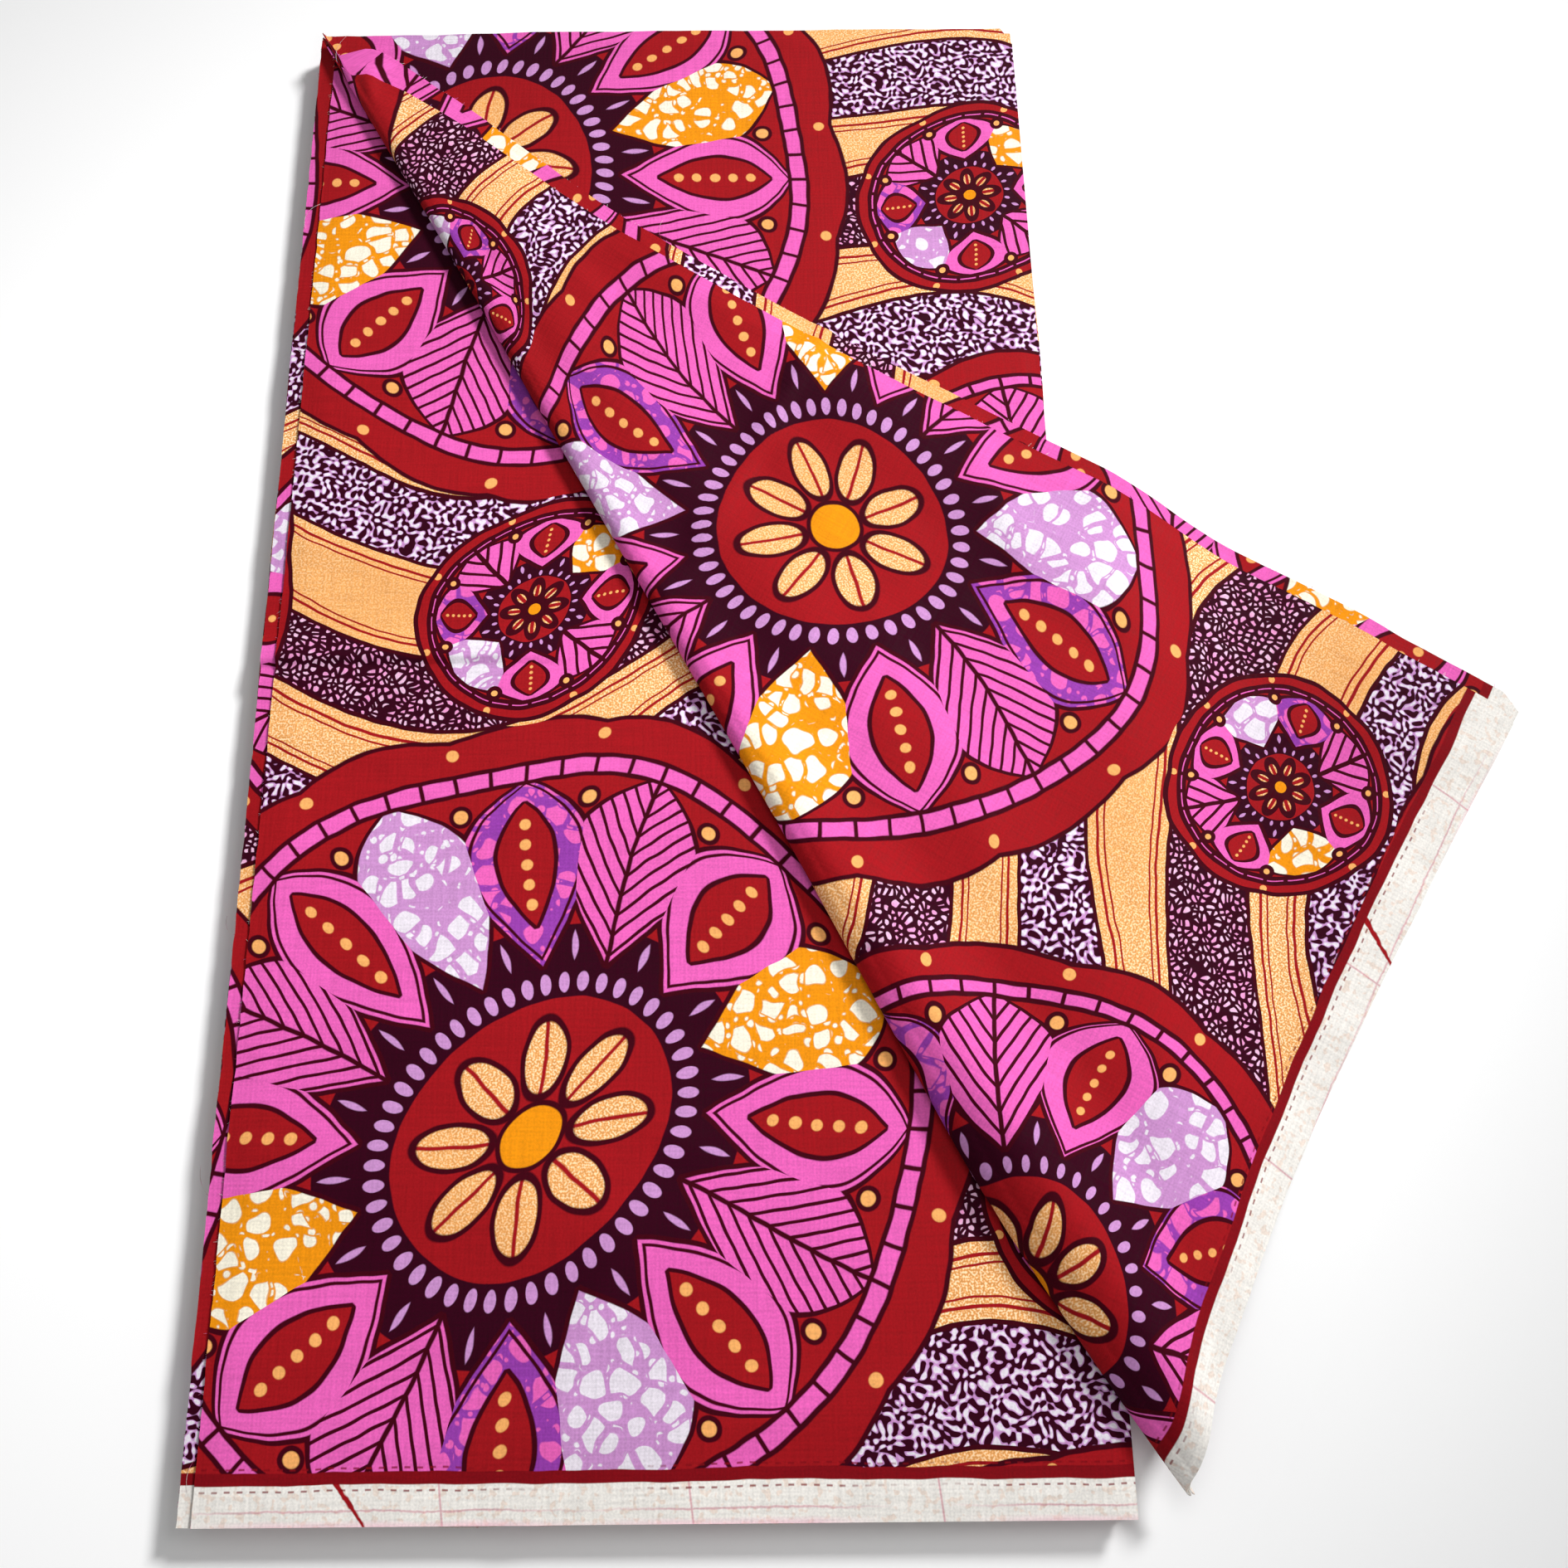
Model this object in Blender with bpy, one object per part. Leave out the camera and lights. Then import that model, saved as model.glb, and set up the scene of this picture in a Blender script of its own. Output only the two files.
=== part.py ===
"""A folded length of printed cotton that lies flat, with its top double layer turned back on a diagonal.

Metres, +Z up. The strip's own frame has its corner at the lower left raw end, X across to the folds at
the right and Y along to the long fold at the top. The finished part stands on z = 0, with its origin
under the middle of its outline.
"""

import math

import bmesh
import bpy
import numpy as np

# The folded strip
STRIP_WIDTH = 0.300
STRIP_LENGTH = 0.586
TOP_SLIP = -0.0069  # how far the far end lies to the side of the near end
CORNER_RADIUS = 0.004

# Layers. A wall stands for one layer of cloth, and GAP parts it from the next.
WALL = 0.001
GAP = 0.0003
STACK_HEIGHT = 0.0092
STACK_FOLDS = 8  # the folded panels that the stack's edges show
FOLD_GROOVE = 0.0012  # how far the edge draws in between two of them
FOLD_UNEVEN = 0.0011  # how far a panel's edge may lie inside the strip's outline

# The base sheets' raw ends at the left: how far each lies inside the stack's edge, near end and far end
UNDER_INSET = (0.0004, 0.0004)
BASE_INSET = (0.0053, 0.0072)

# The pressed crease at half the strip's length, on what lies left of the diagonal fold
CREASE_AT = 0.2935
CREASE_RISE = 0.0012
CREASE_HALF_WIDTH = 0.009
CREASE_FADES_FROM = 0.032  # left of the diagonal fold
CREASE_FADES_OVER = 0.030

# The diagonal fold, from the far left corner to just past the near right one
FOLD_START = (0.0027, 0.5678)
FOLD_ANGLE = math.radians(-60.82)
ROLL_SIDES = 8  # facets round the half turn

# Along the fold: the roll's inner radius, how far its edge bows out of the straight line, and how far
# from the edge the two layers take to come together
ROLL_COLUMNS = ("along", "radius", "edge", "closes_over")
ROLL = (
    (0.00, 0.0006, 0.0000, 0.008),
    (0.10, 0.0009, 0.0000, 0.014),
    (0.20, 0.0015, -0.0015, 0.022),
    (0.30, 0.0021, -0.0026, 0.028),
    (0.40, 0.0027, -0.0040, 0.034),
    (0.48, 0.0036, -0.0066, 0.042),
    (0.53, 0.0043, -0.0080, 0.048),
    (0.58, 0.0036, -0.0058, 0.042),
    (0.66, 0.0016, 0.0005, 0.024),
)

# The turned layers, laid out flat on the strip: the raw end, and the near corner, which is drawn out
# to the end of the diagonal fold
TURNED_INSET = 0.0020
OUTER_SETBACK = 0.0070  # the outer layer's raw end lies this much inside the inner layer's
DRAWN_CORNER = (0.3185, 0.0087)
DRAWN_FROM = 0.105  # the drawing out starts this far up the right edge
BLUNT_CORNER = 0.004
MIN_SETBACK = 0.001
LEG_SETTLES_OVER = 0.10

# How the turned-back flap lies: its reach against the flat cloth, its slide along the fold, the
# hollows of its raw edge and its selvedge edge, and the spread where the fold starts
FLAP_REACH = 0.985
FLAP_SLIDE = -0.046
RAW_HOLLOW = 0.0098
RAW_HOLLOW_FROM = 0.09  # up the raw edge, to where the fold starts
RAW_HOLLOW_FADES_OVER = 0.17
START_SPREAD = 0.0135
START_SPREAD_OVER = 0.17
START_WIDENS = 0.55  # the flap's width near the start, as a share of the length along the fold
START_WIDTH = 0.002
FLAP_SOFT_START = 0.02
SELVEDGE_HOLLOW = 0.0062
SELVEDGE_HOLLOW_REACH = 0.331  # how far along the selvedge from the raw end
SELVEDGE_HOLLOW_FADES_OVER = 0.12
SELVEDGE_HOLLOW_SKEW = 0.75

# The overhang right of the strip comes down to the surface
DROP_FROM = 0.016
DROP_OVER = 0.060

# Soft ridges on the flap, in the flat cloth's own coordinates, from one end to the other
RIDGE_COLUMNS = ("x0", "y0", "x1", "y1", "half_width", "rise")
FLAP_RIDGES = (
    (-0.01, 0.307, 0.30, 0.307, 0.009, 0.0013),
    (0.02, 0.500, 0.20, 0.060, 0.034, 0.0022),
    (0.00, 0.390, 0.06, 0.110, 0.026, 0.0016),
    (0.10, 0.060, 0.26, 0.010, 0.022, 0.0014),
)

RIDGES_START = 0.03  # from the fold

# Mesh density
TURNED_COLUMNS = 23
FLAP_ROWS = 18
LEG_ROWS = 9
ROW_CROWDING = 1.4  # how much closer the rows lie near the fold
BASE_COLUMNS = 13
BASE_ROWS = 7
CREASE_ROWS = 7
EDGE_STEPS = 3
CORNER_STEPS = 3

BASE_TOP = STACK_HEIGHT + 2 * (GAP + WALL)
CORE_BOTTOM = BASE_TOP + 2 * (GAP + WALL)  # between the two legs of the diagonal fold
FULL_WALL = 2 * WALL + GAP
WIDEST_ROLL = max(row[ROLL_COLUMNS.index("radius")] for row in ROLL)
QUARTER_TURN = 0.5 * math.pi * WIDEST_ROLL  # the cloth in half of the roll
SHEET_END = 0.0004  # a sheet's folds lie this much inside the stack's

COLOURS = {
    "stack": (0.45, 0.05, 0.10),
    "under_sheet": (0.62, 0.10, 0.16),
    "base_sheet": (0.80, 0.22, 0.52),
    "turned_inner": (0.62, 0.30, 0.48),
    "turned_outer": (0.86, 0.26, 0.56),
}


def start_empty():
    """Removes whatever the file opened with."""
    for thing in list(bpy.data.objects):
        bpy.data.objects.remove(thing, do_unlink=True)


def cloth_material(name, colour):
    """A dull cotton colour."""
    material = bpy.data.materials.new(name)
    material.use_nodes = True
    shader = material.node_tree.nodes["Principled BSDF"]
    shader.inputs["Base Color"].default_value = (*colour, 1.0)
    shader.inputs["Roughness"].default_value = 0.85
    shader.inputs["Metallic"].default_value = 0.0
    return material


def make_object(name, points, faces):
    """One closed solid, faces outward, in its own material."""
    mesh = bpy.data.meshes.new(name)
    mesh.from_pydata([tuple(p) for p in points], [], faces)
    work = bmesh.new()
    work.from_mesh(mesh)
    bmesh.ops.recalc_face_normals(work, faces=work.faces)
    work.to_mesh(mesh)
    work.free()
    mesh.shade_smooth()
    mesh.set_sharp_from_angle(angle=math.radians(40))
    mesh.materials.append(cloth_material(name, COLOURS[name]))
    thing = bpy.data.objects.new(name, mesh)
    bpy.context.scene.collection.objects.link(thing)
    return thing


def smooth_step(t):
    """0 to 1 with level ends."""
    t = np.clip(t, 0.0, 1.0)
    return t * t * (3.0 - 2.0 * t)


def smooth_curve(table, columns, column, at):
    """A column of a table as a smooth curve through its rows."""
    knots = np.array([row[0] for row in table])
    values = np.array([row[columns.index(column)] for row in table])
    slopes = np.gradient(values, knots)
    at = np.clip(at, knots[0], knots[-1])
    k = np.clip(np.searchsorted(knots, at) - 1, 0, len(knots) - 2)
    step = knots[k + 1] - knots[k]
    t = (at - knots[k]) / step
    rise = values[k + 1] - values[k]
    start = slopes[k] * step
    end = slopes[k + 1] * step
    return values[k] + t * (start + t * (3 * rise - 2 * start - end + t * (start + end - 2 * rise)))


def slip(y):
    """How far the strip lies to the side at this length."""
    return TOP_SLIP * np.asarray(y) / STRIP_LENGTH


def grid_faces(rows, columns, first=0):
    """Triangles over a grid of points that are numbered row by row, all cut on the same diagonal."""
    faces = []
    for i in range(rows - 1):
        for j in range(columns - 1):
            near = first + i * columns + j
            far = near + columns
            faces.append((near, near + 1, far + 1))
            faces.append((near, far + 1, far))
    return faces


def grid_rim(rows, columns):
    """The numbers of the points round a grid's edge, in order."""
    near = [j for j in range(columns)]
    right = [i * columns + columns - 1 for i in range(1, rows)]
    far = [(rows - 1) * columns + j for j in range(columns - 2, -1, -1)]
    left = [i * columns for i in range(rows - 2, 0, -1)]
    return near + right + far + left


def wall_between(name, lower, upper):
    """A sheet of cloth with thickness, between two grids of points with the same rows and columns."""
    rows, columns = lower.shape[:2]
    count = rows * columns
    points = np.concatenate([lower.reshape(-1, 3), upper.reshape(-1, 3)])
    faces = [face[::-1] for face in grid_faces(rows, columns)]
    faces += grid_faces(rows, columns, first=count)
    rim = grid_rim(rows, columns)
    for a, b in zip(rim, rim[1:] + rim[:1], strict=True):
        faces.append((a, b, count + b, count + a))
    return make_object(name, points, faces)


def strip_outline(left, right, near, far):
    """The strip's outline with rounded corners, drawn in by this much on each side, as a ring of (x, y)."""
    radius = CORNER_RADIUS
    low_x, high_x = left + radius, STRIP_WIDTH - right - radius
    low_y, high_y = near + radius, STRIP_LENGTH - far - radius
    corners = (
        (high_x, low_y, -0.5 * math.pi),
        (high_x, high_y, 0.0),
        (low_x, high_y, 0.5 * math.pi),
        (low_x, low_y, math.pi),
    )
    ring = []
    for number, (x, y, turn) in enumerate(corners):
        for k in range(CORNER_STEPS + 1):
            angle = turn + 0.5 * math.pi * k / CORNER_STEPS
            ring.append((x + radius * math.cos(angle), y + radius * math.sin(angle)))
        next_x, next_y, next_turn = corners[(number + 1) % 4]
        start = ring[-1]
        end = (next_x + radius * math.cos(next_turn), next_y + radius * math.sin(next_turn))
        for k in range(1, EDGE_STEPS):
            t = k / EDGE_STEPS
            ring.append((start[0] + t * (end[0] - start[0]), start[1] + t * (end[1] - start[1])))
    return np.array(ring)


def stack_ring(z, fold, inset):
    """One level of the stack. Each side of each folded panel lies a little differently."""
    sides = [inset + FOLD_UNEVEN * (0.5 + 0.5 * math.sin(2.3 * fold + 1.9 * side)) for side in range(4)]
    ring = strip_outline(*sides)
    return np.column_stack([ring[:, 0] + slip(ring[:, 1]), ring[:, 1], np.full(len(ring), z)])


def build_stack():
    """The hidden layers: a flat-bottomed solid whose edges show the folded panels."""
    pitch = STACK_HEIGHT / STACK_FOLDS
    rings = []
    for fold in range(STACK_FOLDS):
        bottom = fold * pitch
        rings.append(stack_ring(bottom, fold, FOLD_GROOVE if fold else 0.3 * FOLD_GROOVE))
        rings.append(stack_ring(bottom + 0.20 * pitch, fold, 0.2 * FOLD_GROOVE))
        rings.append(stack_ring(bottom + 0.50 * pitch, fold, 0.0))
        rings.append(stack_ring(bottom + 0.80 * pitch, fold, 0.2 * FOLD_GROOVE))
    rings.append(stack_ring(STACK_HEIGHT, STACK_FOLDS - 1, 0.6 * FOLD_GROOVE))
    count = len(rings[0])
    faces = [tuple(range(count))[::-1]]
    for level in range(len(rings) - 1):
        for k in range(count):
            after = (k + 1) % count
            low, high = level * count, (level + 1) * count
            faces.append((low + k, low + after, high + after, high + k))
    faces.append(tuple(range((len(rings) - 1) * count, len(rings) * count)))
    return make_object("stack", np.concatenate(rings), faces)


def to_fold(x, y):
    """Length along the diagonal fold, and the distance from it on the side that is turned back."""
    dx, dy = x - FOLD_START[0], y - FOLD_START[1]
    along = dx * math.cos(FOLD_ANGLE) + dy * math.sin(FOLD_ANGLE)
    across = -dx * math.sin(FOLD_ANGLE) + dy * math.cos(FOLD_ANGLE)
    return along, -across


def from_fold(along, right):
    """The place at this length along the fold and this distance to its right."""
    x = FOLD_START[0] + along * math.cos(FOLD_ANGLE) - right * math.sin(FOLD_ANGLE)
    y = FOLD_START[1] + along * math.sin(FOLD_ANGLE) + right * math.cos(FOLD_ANGLE)
    return x, y


def base_crease(x, y):
    """The pressed crease across the base, which the turned layers flatten where they lie on it."""
    _, left_of_fold = to_fold(x, y)
    shape = smooth_step(1.0 - np.abs(y - CREASE_AT) / CREASE_HALF_WIDTH)
    free = smooth_step((left_of_fold - CREASE_FADES_FROM) / CREASE_FADES_OVER)
    return CREASE_RISE * shape * free


def build_base_sheet(name, inset, bottom):
    """One layer of the base, from its raw end at the left to the fold at the right."""
    lengths = np.linspace(SHEET_END, STRIP_LENGTH - SHEET_END, BASE_ROWS)
    lengths = lengths[np.abs(lengths - CREASE_AT) > 1.2 * CREASE_HALF_WIDTH]
    crease = CREASE_AT + CREASE_HALF_WIDTH * np.linspace(-1.0, 1.0, CREASE_ROWS)
    lengths = np.sort(np.concatenate([lengths, crease]))
    left = np.interp(lengths, (0.0, STRIP_LENGTH), inset)
    share = np.linspace(0.0, 1.0, BASE_COLUMNS)[None, :]
    x = left[:, None] * (1.0 - share) + (STRIP_WIDTH - SHEET_END) * share + slip(lengths)[:, None]
    y = np.repeat(lengths[:, None], BASE_COLUMNS, axis=1)
    z = bottom + base_crease(x, y)
    return wall_between(name, np.stack([x, y, z], -1), np.stack([x, y, z + WALL], -1))


def turned_outline():
    """The turned layers laid out flat on the strip, with the near right corner drawn out."""
    right, far = STRIP_WIDTH - SHEET_END, STRIP_LENGTH - SHEET_END
    return [
        (TURNED_INSET, 0.0),
        DRAWN_CORNER,
        (right + slip(DRAWN_FROM), DRAWN_FROM),
        (right + slip(far), far),
        (TURNED_INSET + slip(far), far),
    ]


def row_ends(outline, away):
    """Where the line parallel to the fold at this distance enters and leaves the outline."""
    corners = [to_fold(x, y) for x, y in outline]
    crossings = []
    for (s0, w0), (s1, w1) in zip(corners, corners[1:] + corners[:1], strict=True):
        if (w0 - away) * (w1 - away) <= 0 and w0 != w1:
            crossings.append(s0 + (s1 - s0) * (away - w0) / (w1 - w0))
    return min(crossings), max(crossings)


def row_distances(outline):
    """Distances from the fold for the rows that both turned layers have, and for those at the tip."""
    corners = [to_fold(x, y) for x, y in outline]
    farthest = max(away for _, away in corners)
    nearest = min(away for _, away in corners)
    inward = np.linspace(1.0, 0.0, LEG_ROWS + 1)[:-1] ** ROW_CROWDING
    leg = -QUARTER_TURN + (nearest + BLUNT_CORNER + QUARTER_TURN) * inward
    roll = np.linspace(-QUARTER_TURN, QUARTER_TURN, ROLL_SIDES + 1)
    outward = np.linspace(0.0, 1.0, FLAP_ROWS + 1)[1:] ** ROW_CROWDING
    outer_corner = farthest - (OUTER_SETBACK + BLUNT_CORNER) * math.cos(FOLD_ANGLE + 0.5 * math.pi)
    flap = QUARTER_TURN + (outer_corner - QUARTER_TURN) * outward
    tip = outer_corner + (farthest - BLUNT_CORNER - outer_corner) * np.array([0.5, 1.0])
    return np.concatenate([leg, roll, flap]), tip


def lattice():
    """The turned layers' flat points in rows along the fold, with the outer layer's raw end in column 1."""
    outline = turned_outline()
    shared, tip = row_distances(outline)
    raw_edge_angle = FOLD_ANGLE + 0.5 * math.pi - math.atan2(TOP_SLIP, STRIP_LENGTH)
    setback = OUTER_SETBACK / math.sin(raw_edge_angle)
    far_corner = to_fold(*outline[4])[1] - MIN_SETBACK
    rows = []
    for away in shared:
        start, end = row_ends(outline, away)
        first = max(MIN_SETBACK, setback * min(1.0, 1.0 - away / far_corner))
        rows.append(np.concatenate([[start], np.linspace(start + first, end, TURNED_COLUMNS - 1)]))
    for away in tip:
        rows.append(np.linspace(*row_ends(outline, away), TURNED_COLUMNS))
    away = np.concatenate([shared, tip])[:, None].repeat(TURNED_COLUMNS, axis=1)
    return np.array(rows), away, len(shared)


def drop(x, y):
    """How far down the overhang has come: 0 over the strip, 1 on the surface."""
    beyond = x - (STRIP_WIDTH + slip(np.clip(y, 0.0, STRIP_LENGTH)))
    return smooth_step((beyond - DROP_FROM) / DROP_OVER)


def ridge_rise(x, y):
    """The flap's soft ridges at a flat point of the cloth."""
    rise = np.zeros_like(x)
    for x0, y0, x1, y1, half_width, height in FLAP_RIDGES:
        dx, dy = x1 - x0, y1 - y0
        t = np.clip(((x - x0) * dx + (y - y0) * dy) / (dx * dx + dy * dy), 0.0, 1.0)
        off = np.hypot(x - x0 - t * dx, y - y0 - t * dy)
        rise += height * smooth_step(1.0 - off / half_width)
    return rise


def flap_shift(along, flap, flat_x, flat_y):
    """How far the flap's points lie from a plain reflection: along the fold, and away from it."""
    soft_start = smooth_step(flap / FLAP_SOFT_START)
    up_raw_edge = np.clip((flat_y - RAW_HOLLOW_FROM) / (FOLD_START[1] - RAW_HOLLOW_FROM), 0.0, 1.0)
    near_raw_edge = smooth_step(1.0 - (flat_x - slip(flat_y)) / RAW_HOLLOW_FADES_OVER)
    raw_hollow = RAW_HOLLOW * np.sin(math.pi * up_raw_edge) * near_raw_edge * soft_start

    at_start = 1.0 - smooth_step(along / START_SPREAD_OVER)
    edge_width = START_WIDENS * np.maximum(along, 0.0) + START_WIDTH
    spread = START_SPREAD * at_start * np.clip(flap / edge_width, 0.0, 1.0)

    along_selvedge = np.clip(1.0 - flat_x / SELVEDGE_HOLLOW_REACH, 0.0, 1.0) ** SELVEDGE_HOLLOW_SKEW
    near_selvedge = smooth_step(1.0 - flat_y / SELVEDGE_HOLLOW_FADES_OVER)
    selvedge_hollow = SELVEDGE_HOLLOW * np.sin(math.pi * along_selvedge) * near_selvedge * soft_start
    return FLAP_SLIDE * flap - selvedge_hollow, FLAP_REACH * flap - raw_hollow + spread


def folded(along, away, out):
    """Where a flat point of the turned cloth lies, out from the fold's core by this much."""
    flat_x, flat_y = from_fold(along, -away)
    radius = smooth_curve(ROLL, ROLL_COLUMNS, "radius", along)
    edge = smooth_curve(ROLL, ROLL_COLUMNS, "edge", along)
    closes_over = smooth_curve(ROLL, ROLL_COLUMNS, "closes_over", along)
    centre = edge + radius + FULL_WALL
    turn = np.clip(away / QUARTER_TURN, -1.0, 1.0) * 0.5 * math.pi
    leg = np.maximum(-away - QUARTER_TURN, 0.0)
    flap = np.maximum(away - QUARTER_TURN, 0.0)

    slide, reach = flap_shift(along, flap, flat_x, flat_y)
    settled = smooth_step(leg / LEG_SETTLES_OVER)  # the lower leg lies where it lay before it was turned
    leg_place = leg + (QUARTER_TURN - centre) * settled
    x, y = from_fold(along + slide, centre - (radius + out) * np.cos(turn) + leg_place + reach)

    closed = smooth_step(flap / closes_over)
    roll_height = radius * (1.0 + np.sin(turn)) * (1.0 - closed) + GAP * closed
    ridges = ridge_rise(flat_x, flat_y) * smooth_step(flap / RIDGES_START)
    z = (CORE_BOTTOM + roll_height + ridges) * (1.0 - drop(x, y)) + out * np.sin(turn)
    return np.stack([x, y, z], -1)


def build_turned(name, rows, away, first_column, inside, outside):
    """One of the two turned layers, between two distances out from the fold's core."""
    along = rows[:, first_column:]
    away = away[:, first_column:]
    inner = folded(along, away, inside)
    outer = folded(along, away, outside)
    return wall_between(name, inner, outer)


def build_turned_layers():
    """The inner and outer turned layers, on one lattice so that they keep their gap."""
    rows, away, shared = lattice()
    build_turned("turned_inner", rows, away, 0, 0.0, WALL)
    build_turned("turned_outer", rows[:shared], away[:shared], 1, WALL + GAP, FULL_WALL)


def centre_on_floor():
    """Moves everything so that the origin is under the middle of the part's outline."""
    meshes = [thing.data for thing in bpy.data.objects]
    points = np.array([tuple(v.co) for mesh in meshes for v in mesh.vertices])
    middle = 0.5 * (points.min(axis=0) + points.max(axis=0))
    for mesh in meshes:
        for vertex in mesh.vertices:
            vertex.co.x -= middle[0]
            vertex.co.y -= middle[1]


def main():
    start_empty()
    build_stack()
    build_base_sheet("under_sheet", UNDER_INSET, STACK_HEIGHT + GAP)
    build_base_sheet("base_sheet", BASE_INSET, STACK_HEIGHT + 2 * GAP + WALL)
    build_turned_layers()
    centre_on_floor()


main()
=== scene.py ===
"""Looks for a folded length of printed cotton: thin cloth on the solids' forms, its print, edges and threads.

Metres. The strip's own frame has its corner at the lower left raw end, X across to the folds at the right
and Y along to the long fold at the top, as the solids have. The cloth's own coordinates, which the print
follows, are u along the length of the cloth and v across it from one selvedge to the other.
"""

import math

import bpy
import numpy as np
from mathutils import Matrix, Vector


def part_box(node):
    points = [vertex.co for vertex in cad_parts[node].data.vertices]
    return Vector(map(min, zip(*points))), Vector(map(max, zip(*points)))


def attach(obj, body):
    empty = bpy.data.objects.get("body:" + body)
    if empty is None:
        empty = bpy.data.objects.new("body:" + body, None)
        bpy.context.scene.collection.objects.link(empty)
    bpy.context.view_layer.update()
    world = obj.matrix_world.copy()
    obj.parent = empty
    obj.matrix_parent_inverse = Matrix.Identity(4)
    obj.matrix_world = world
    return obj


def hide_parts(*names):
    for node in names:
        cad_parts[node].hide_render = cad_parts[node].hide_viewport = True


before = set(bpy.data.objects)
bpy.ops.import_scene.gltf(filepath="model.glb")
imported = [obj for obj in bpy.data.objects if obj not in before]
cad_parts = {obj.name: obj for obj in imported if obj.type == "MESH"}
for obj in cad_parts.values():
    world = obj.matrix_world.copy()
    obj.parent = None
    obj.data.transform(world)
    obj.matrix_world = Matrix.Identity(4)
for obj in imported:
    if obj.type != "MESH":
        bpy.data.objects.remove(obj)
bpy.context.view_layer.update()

FULL_CIRCLE = 2.0 * math.pi

# The folded strip, as the solids have it
STRIP_WIDTH = 0.300
STRIP_LENGTH = 0.586
TOP_SLIP = -0.0069
WALL = 0.001
GAP = 0.0003
STACK_HEIGHT = 0.0092
UNDER_INSET = (0.0004, 0.0004)
BASE_INSET = (0.0053, 0.0072)
CREASE_AT = 0.2935
CREASE_RISE = 0.0014
CREASE_BELOW = 0.0042
CREASE_ABOVE = 0.0130
CREASE_FADES_FROM = 0.032
CREASE_FADES_OVER = 0.030
FOLD_START = (0.0027, 0.5678)
FOLD_ANGLE = math.radians(-60.82)
ROLL = (
    # length along the fold, the roll's radius, how far out its edge lies, and the reach in which it closes,
    # then how far in the crest of its round bow lies, and the crest's height as a share of the solid's roll
    (0.00, 0.0006, 0.0000, 0.008, 0.0020, 1.00),
    (0.10, 0.0009, 0.0000, 0.014, 0.0020, 0.84),
    (0.20, 0.0015, -0.0015, 0.022, 0.0020, 0.70),
    (0.30, 0.0021, -0.0026, 0.028, 0.0024, 0.66),
    (0.40, 0.0027, -0.0040, 0.034, 0.0050, 0.84),
    (0.48, 0.0036, -0.0066, 0.042, 0.0100, 1.06),
    (0.53, 0.0043, -0.0080, 0.048, 0.0138, 1.24),
    (0.58, 0.0036, -0.0058, 0.042, 0.0146, 1.46),
    (0.66, 0.0016, 0.0005, 0.024, 0.0100, 1.70),
)
TURNED_INSET = 0.0020
OUTER_SETBACK = 0.0070
DRAWN_CORNER = (0.3185, 0.0087)
DRAWN_FROM = 0.105
BLUNT_CORNER = 0.004
MIN_SETBACK = 0.001
LEG_SETTLES_OVER = 0.10
FLAP_REACH = 0.985
FLAP_SLIDE = -0.046
RAW_HOLLOW = 0.0098
RAW_HOLLOW_FROM = 0.09
RAW_HOLLOW_FADES_OVER = 0.17
START_SPREAD = 0.0135
START_SPREAD_OVER = 0.17
START_WIDENS = 0.55
START_WIDTH = 0.002
FLAP_SOFT_START = 0.02
SELVEDGE_HOLLOW = 0.0062
SELVEDGE_HOLLOW_REACH = 0.331
SELVEDGE_HOLLOW_FADES_OVER = 0.12
SELVEDGE_HOLLOW_SKEW = 0.75
DROP_FROM = 0.016
DROP_OVER = 0.060
RIDGES_START = 0.03
SHEET_END = 0.0004
UNDER_BOTTOM = STACK_HEIGHT + GAP
BASE_BOTTOM = UNDER_BOTTOM + WALL + GAP
BASE_TOP = STACK_HEIGHT + 2 * (GAP + WALL)
CORE_BOTTOM = BASE_TOP + 2 * (GAP + WALL)
FULL_WALL = 2 * WALL + GAP
QUARTER_TURN = 0.5 * math.pi * max(radius for _, radius, *_ in ROLL)

# Soft ridges, each with the places of its two ends, its half width and its rise. The first rows of the
# flap's and the base's are the solids' too, and those where the flap lies on the surface only show.
FLAP_RIDGES = (
    (-0.01, 0.307, 0.30, 0.307, 0.0065, 0.0016),
    (0.02, 0.500, 0.20, 0.060, 0.034, 0.0022),
    (0.00, 0.390, 0.06, 0.110, 0.026, 0.0016),
    (0.10, 0.060, 0.26, 0.010, 0.022, 0.0014),
    (0.090, 0.555, 0.110, 0.330, 0.016, 0.0006),
    (0.030, 0.330, 0.165, 0.150, 0.013, 0.0005),
    (0.000, 0.250, 0.055, 0.190, 0.012, 0.0007),
    (0.070, 0.240, 0.190, 0.190, 0.019, 0.0005),
    (0.020, 0.450, 0.045, 0.360, 0.010, 0.0006),
)
BASE_RIDGES = (
    (0.010, 0.512, 0.120, 0.335, 0.022, 0.0007),
    (0.000, 0.420, 0.075, 0.330, 0.018, 0.0005),
    (0.020, 0.215, 0.140, 0.245, 0.020, 0.0006),
    (0.000, 0.120, 0.170, 0.080, 0.026, 0.0008),
    (0.060, 0.020, 0.230, 0.035, 0.015, 0.0006),
    (0.030, 0.480, 0.060, 0.400, 0.011, 0.0004),
    (0.000, 0.345, 0.110, 0.300, 0.010, 0.0005),
    (0.090, 0.285, 0.190, 0.235, 0.012, 0.0004),
    (0.000, 0.265, 0.050, 0.255, 0.009, 0.0004),
    (0.050, 0.150, 0.200, 0.170, 0.013, 0.0005),
    (0.150, 0.120, 0.250, 0.060, 0.012, 0.0005),
    (0.000, 0.050, 0.110, 0.055, 0.011, 0.0004),
    (0.110, 0.000, 0.135, 0.090, 0.010, 0.0005),
)
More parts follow.
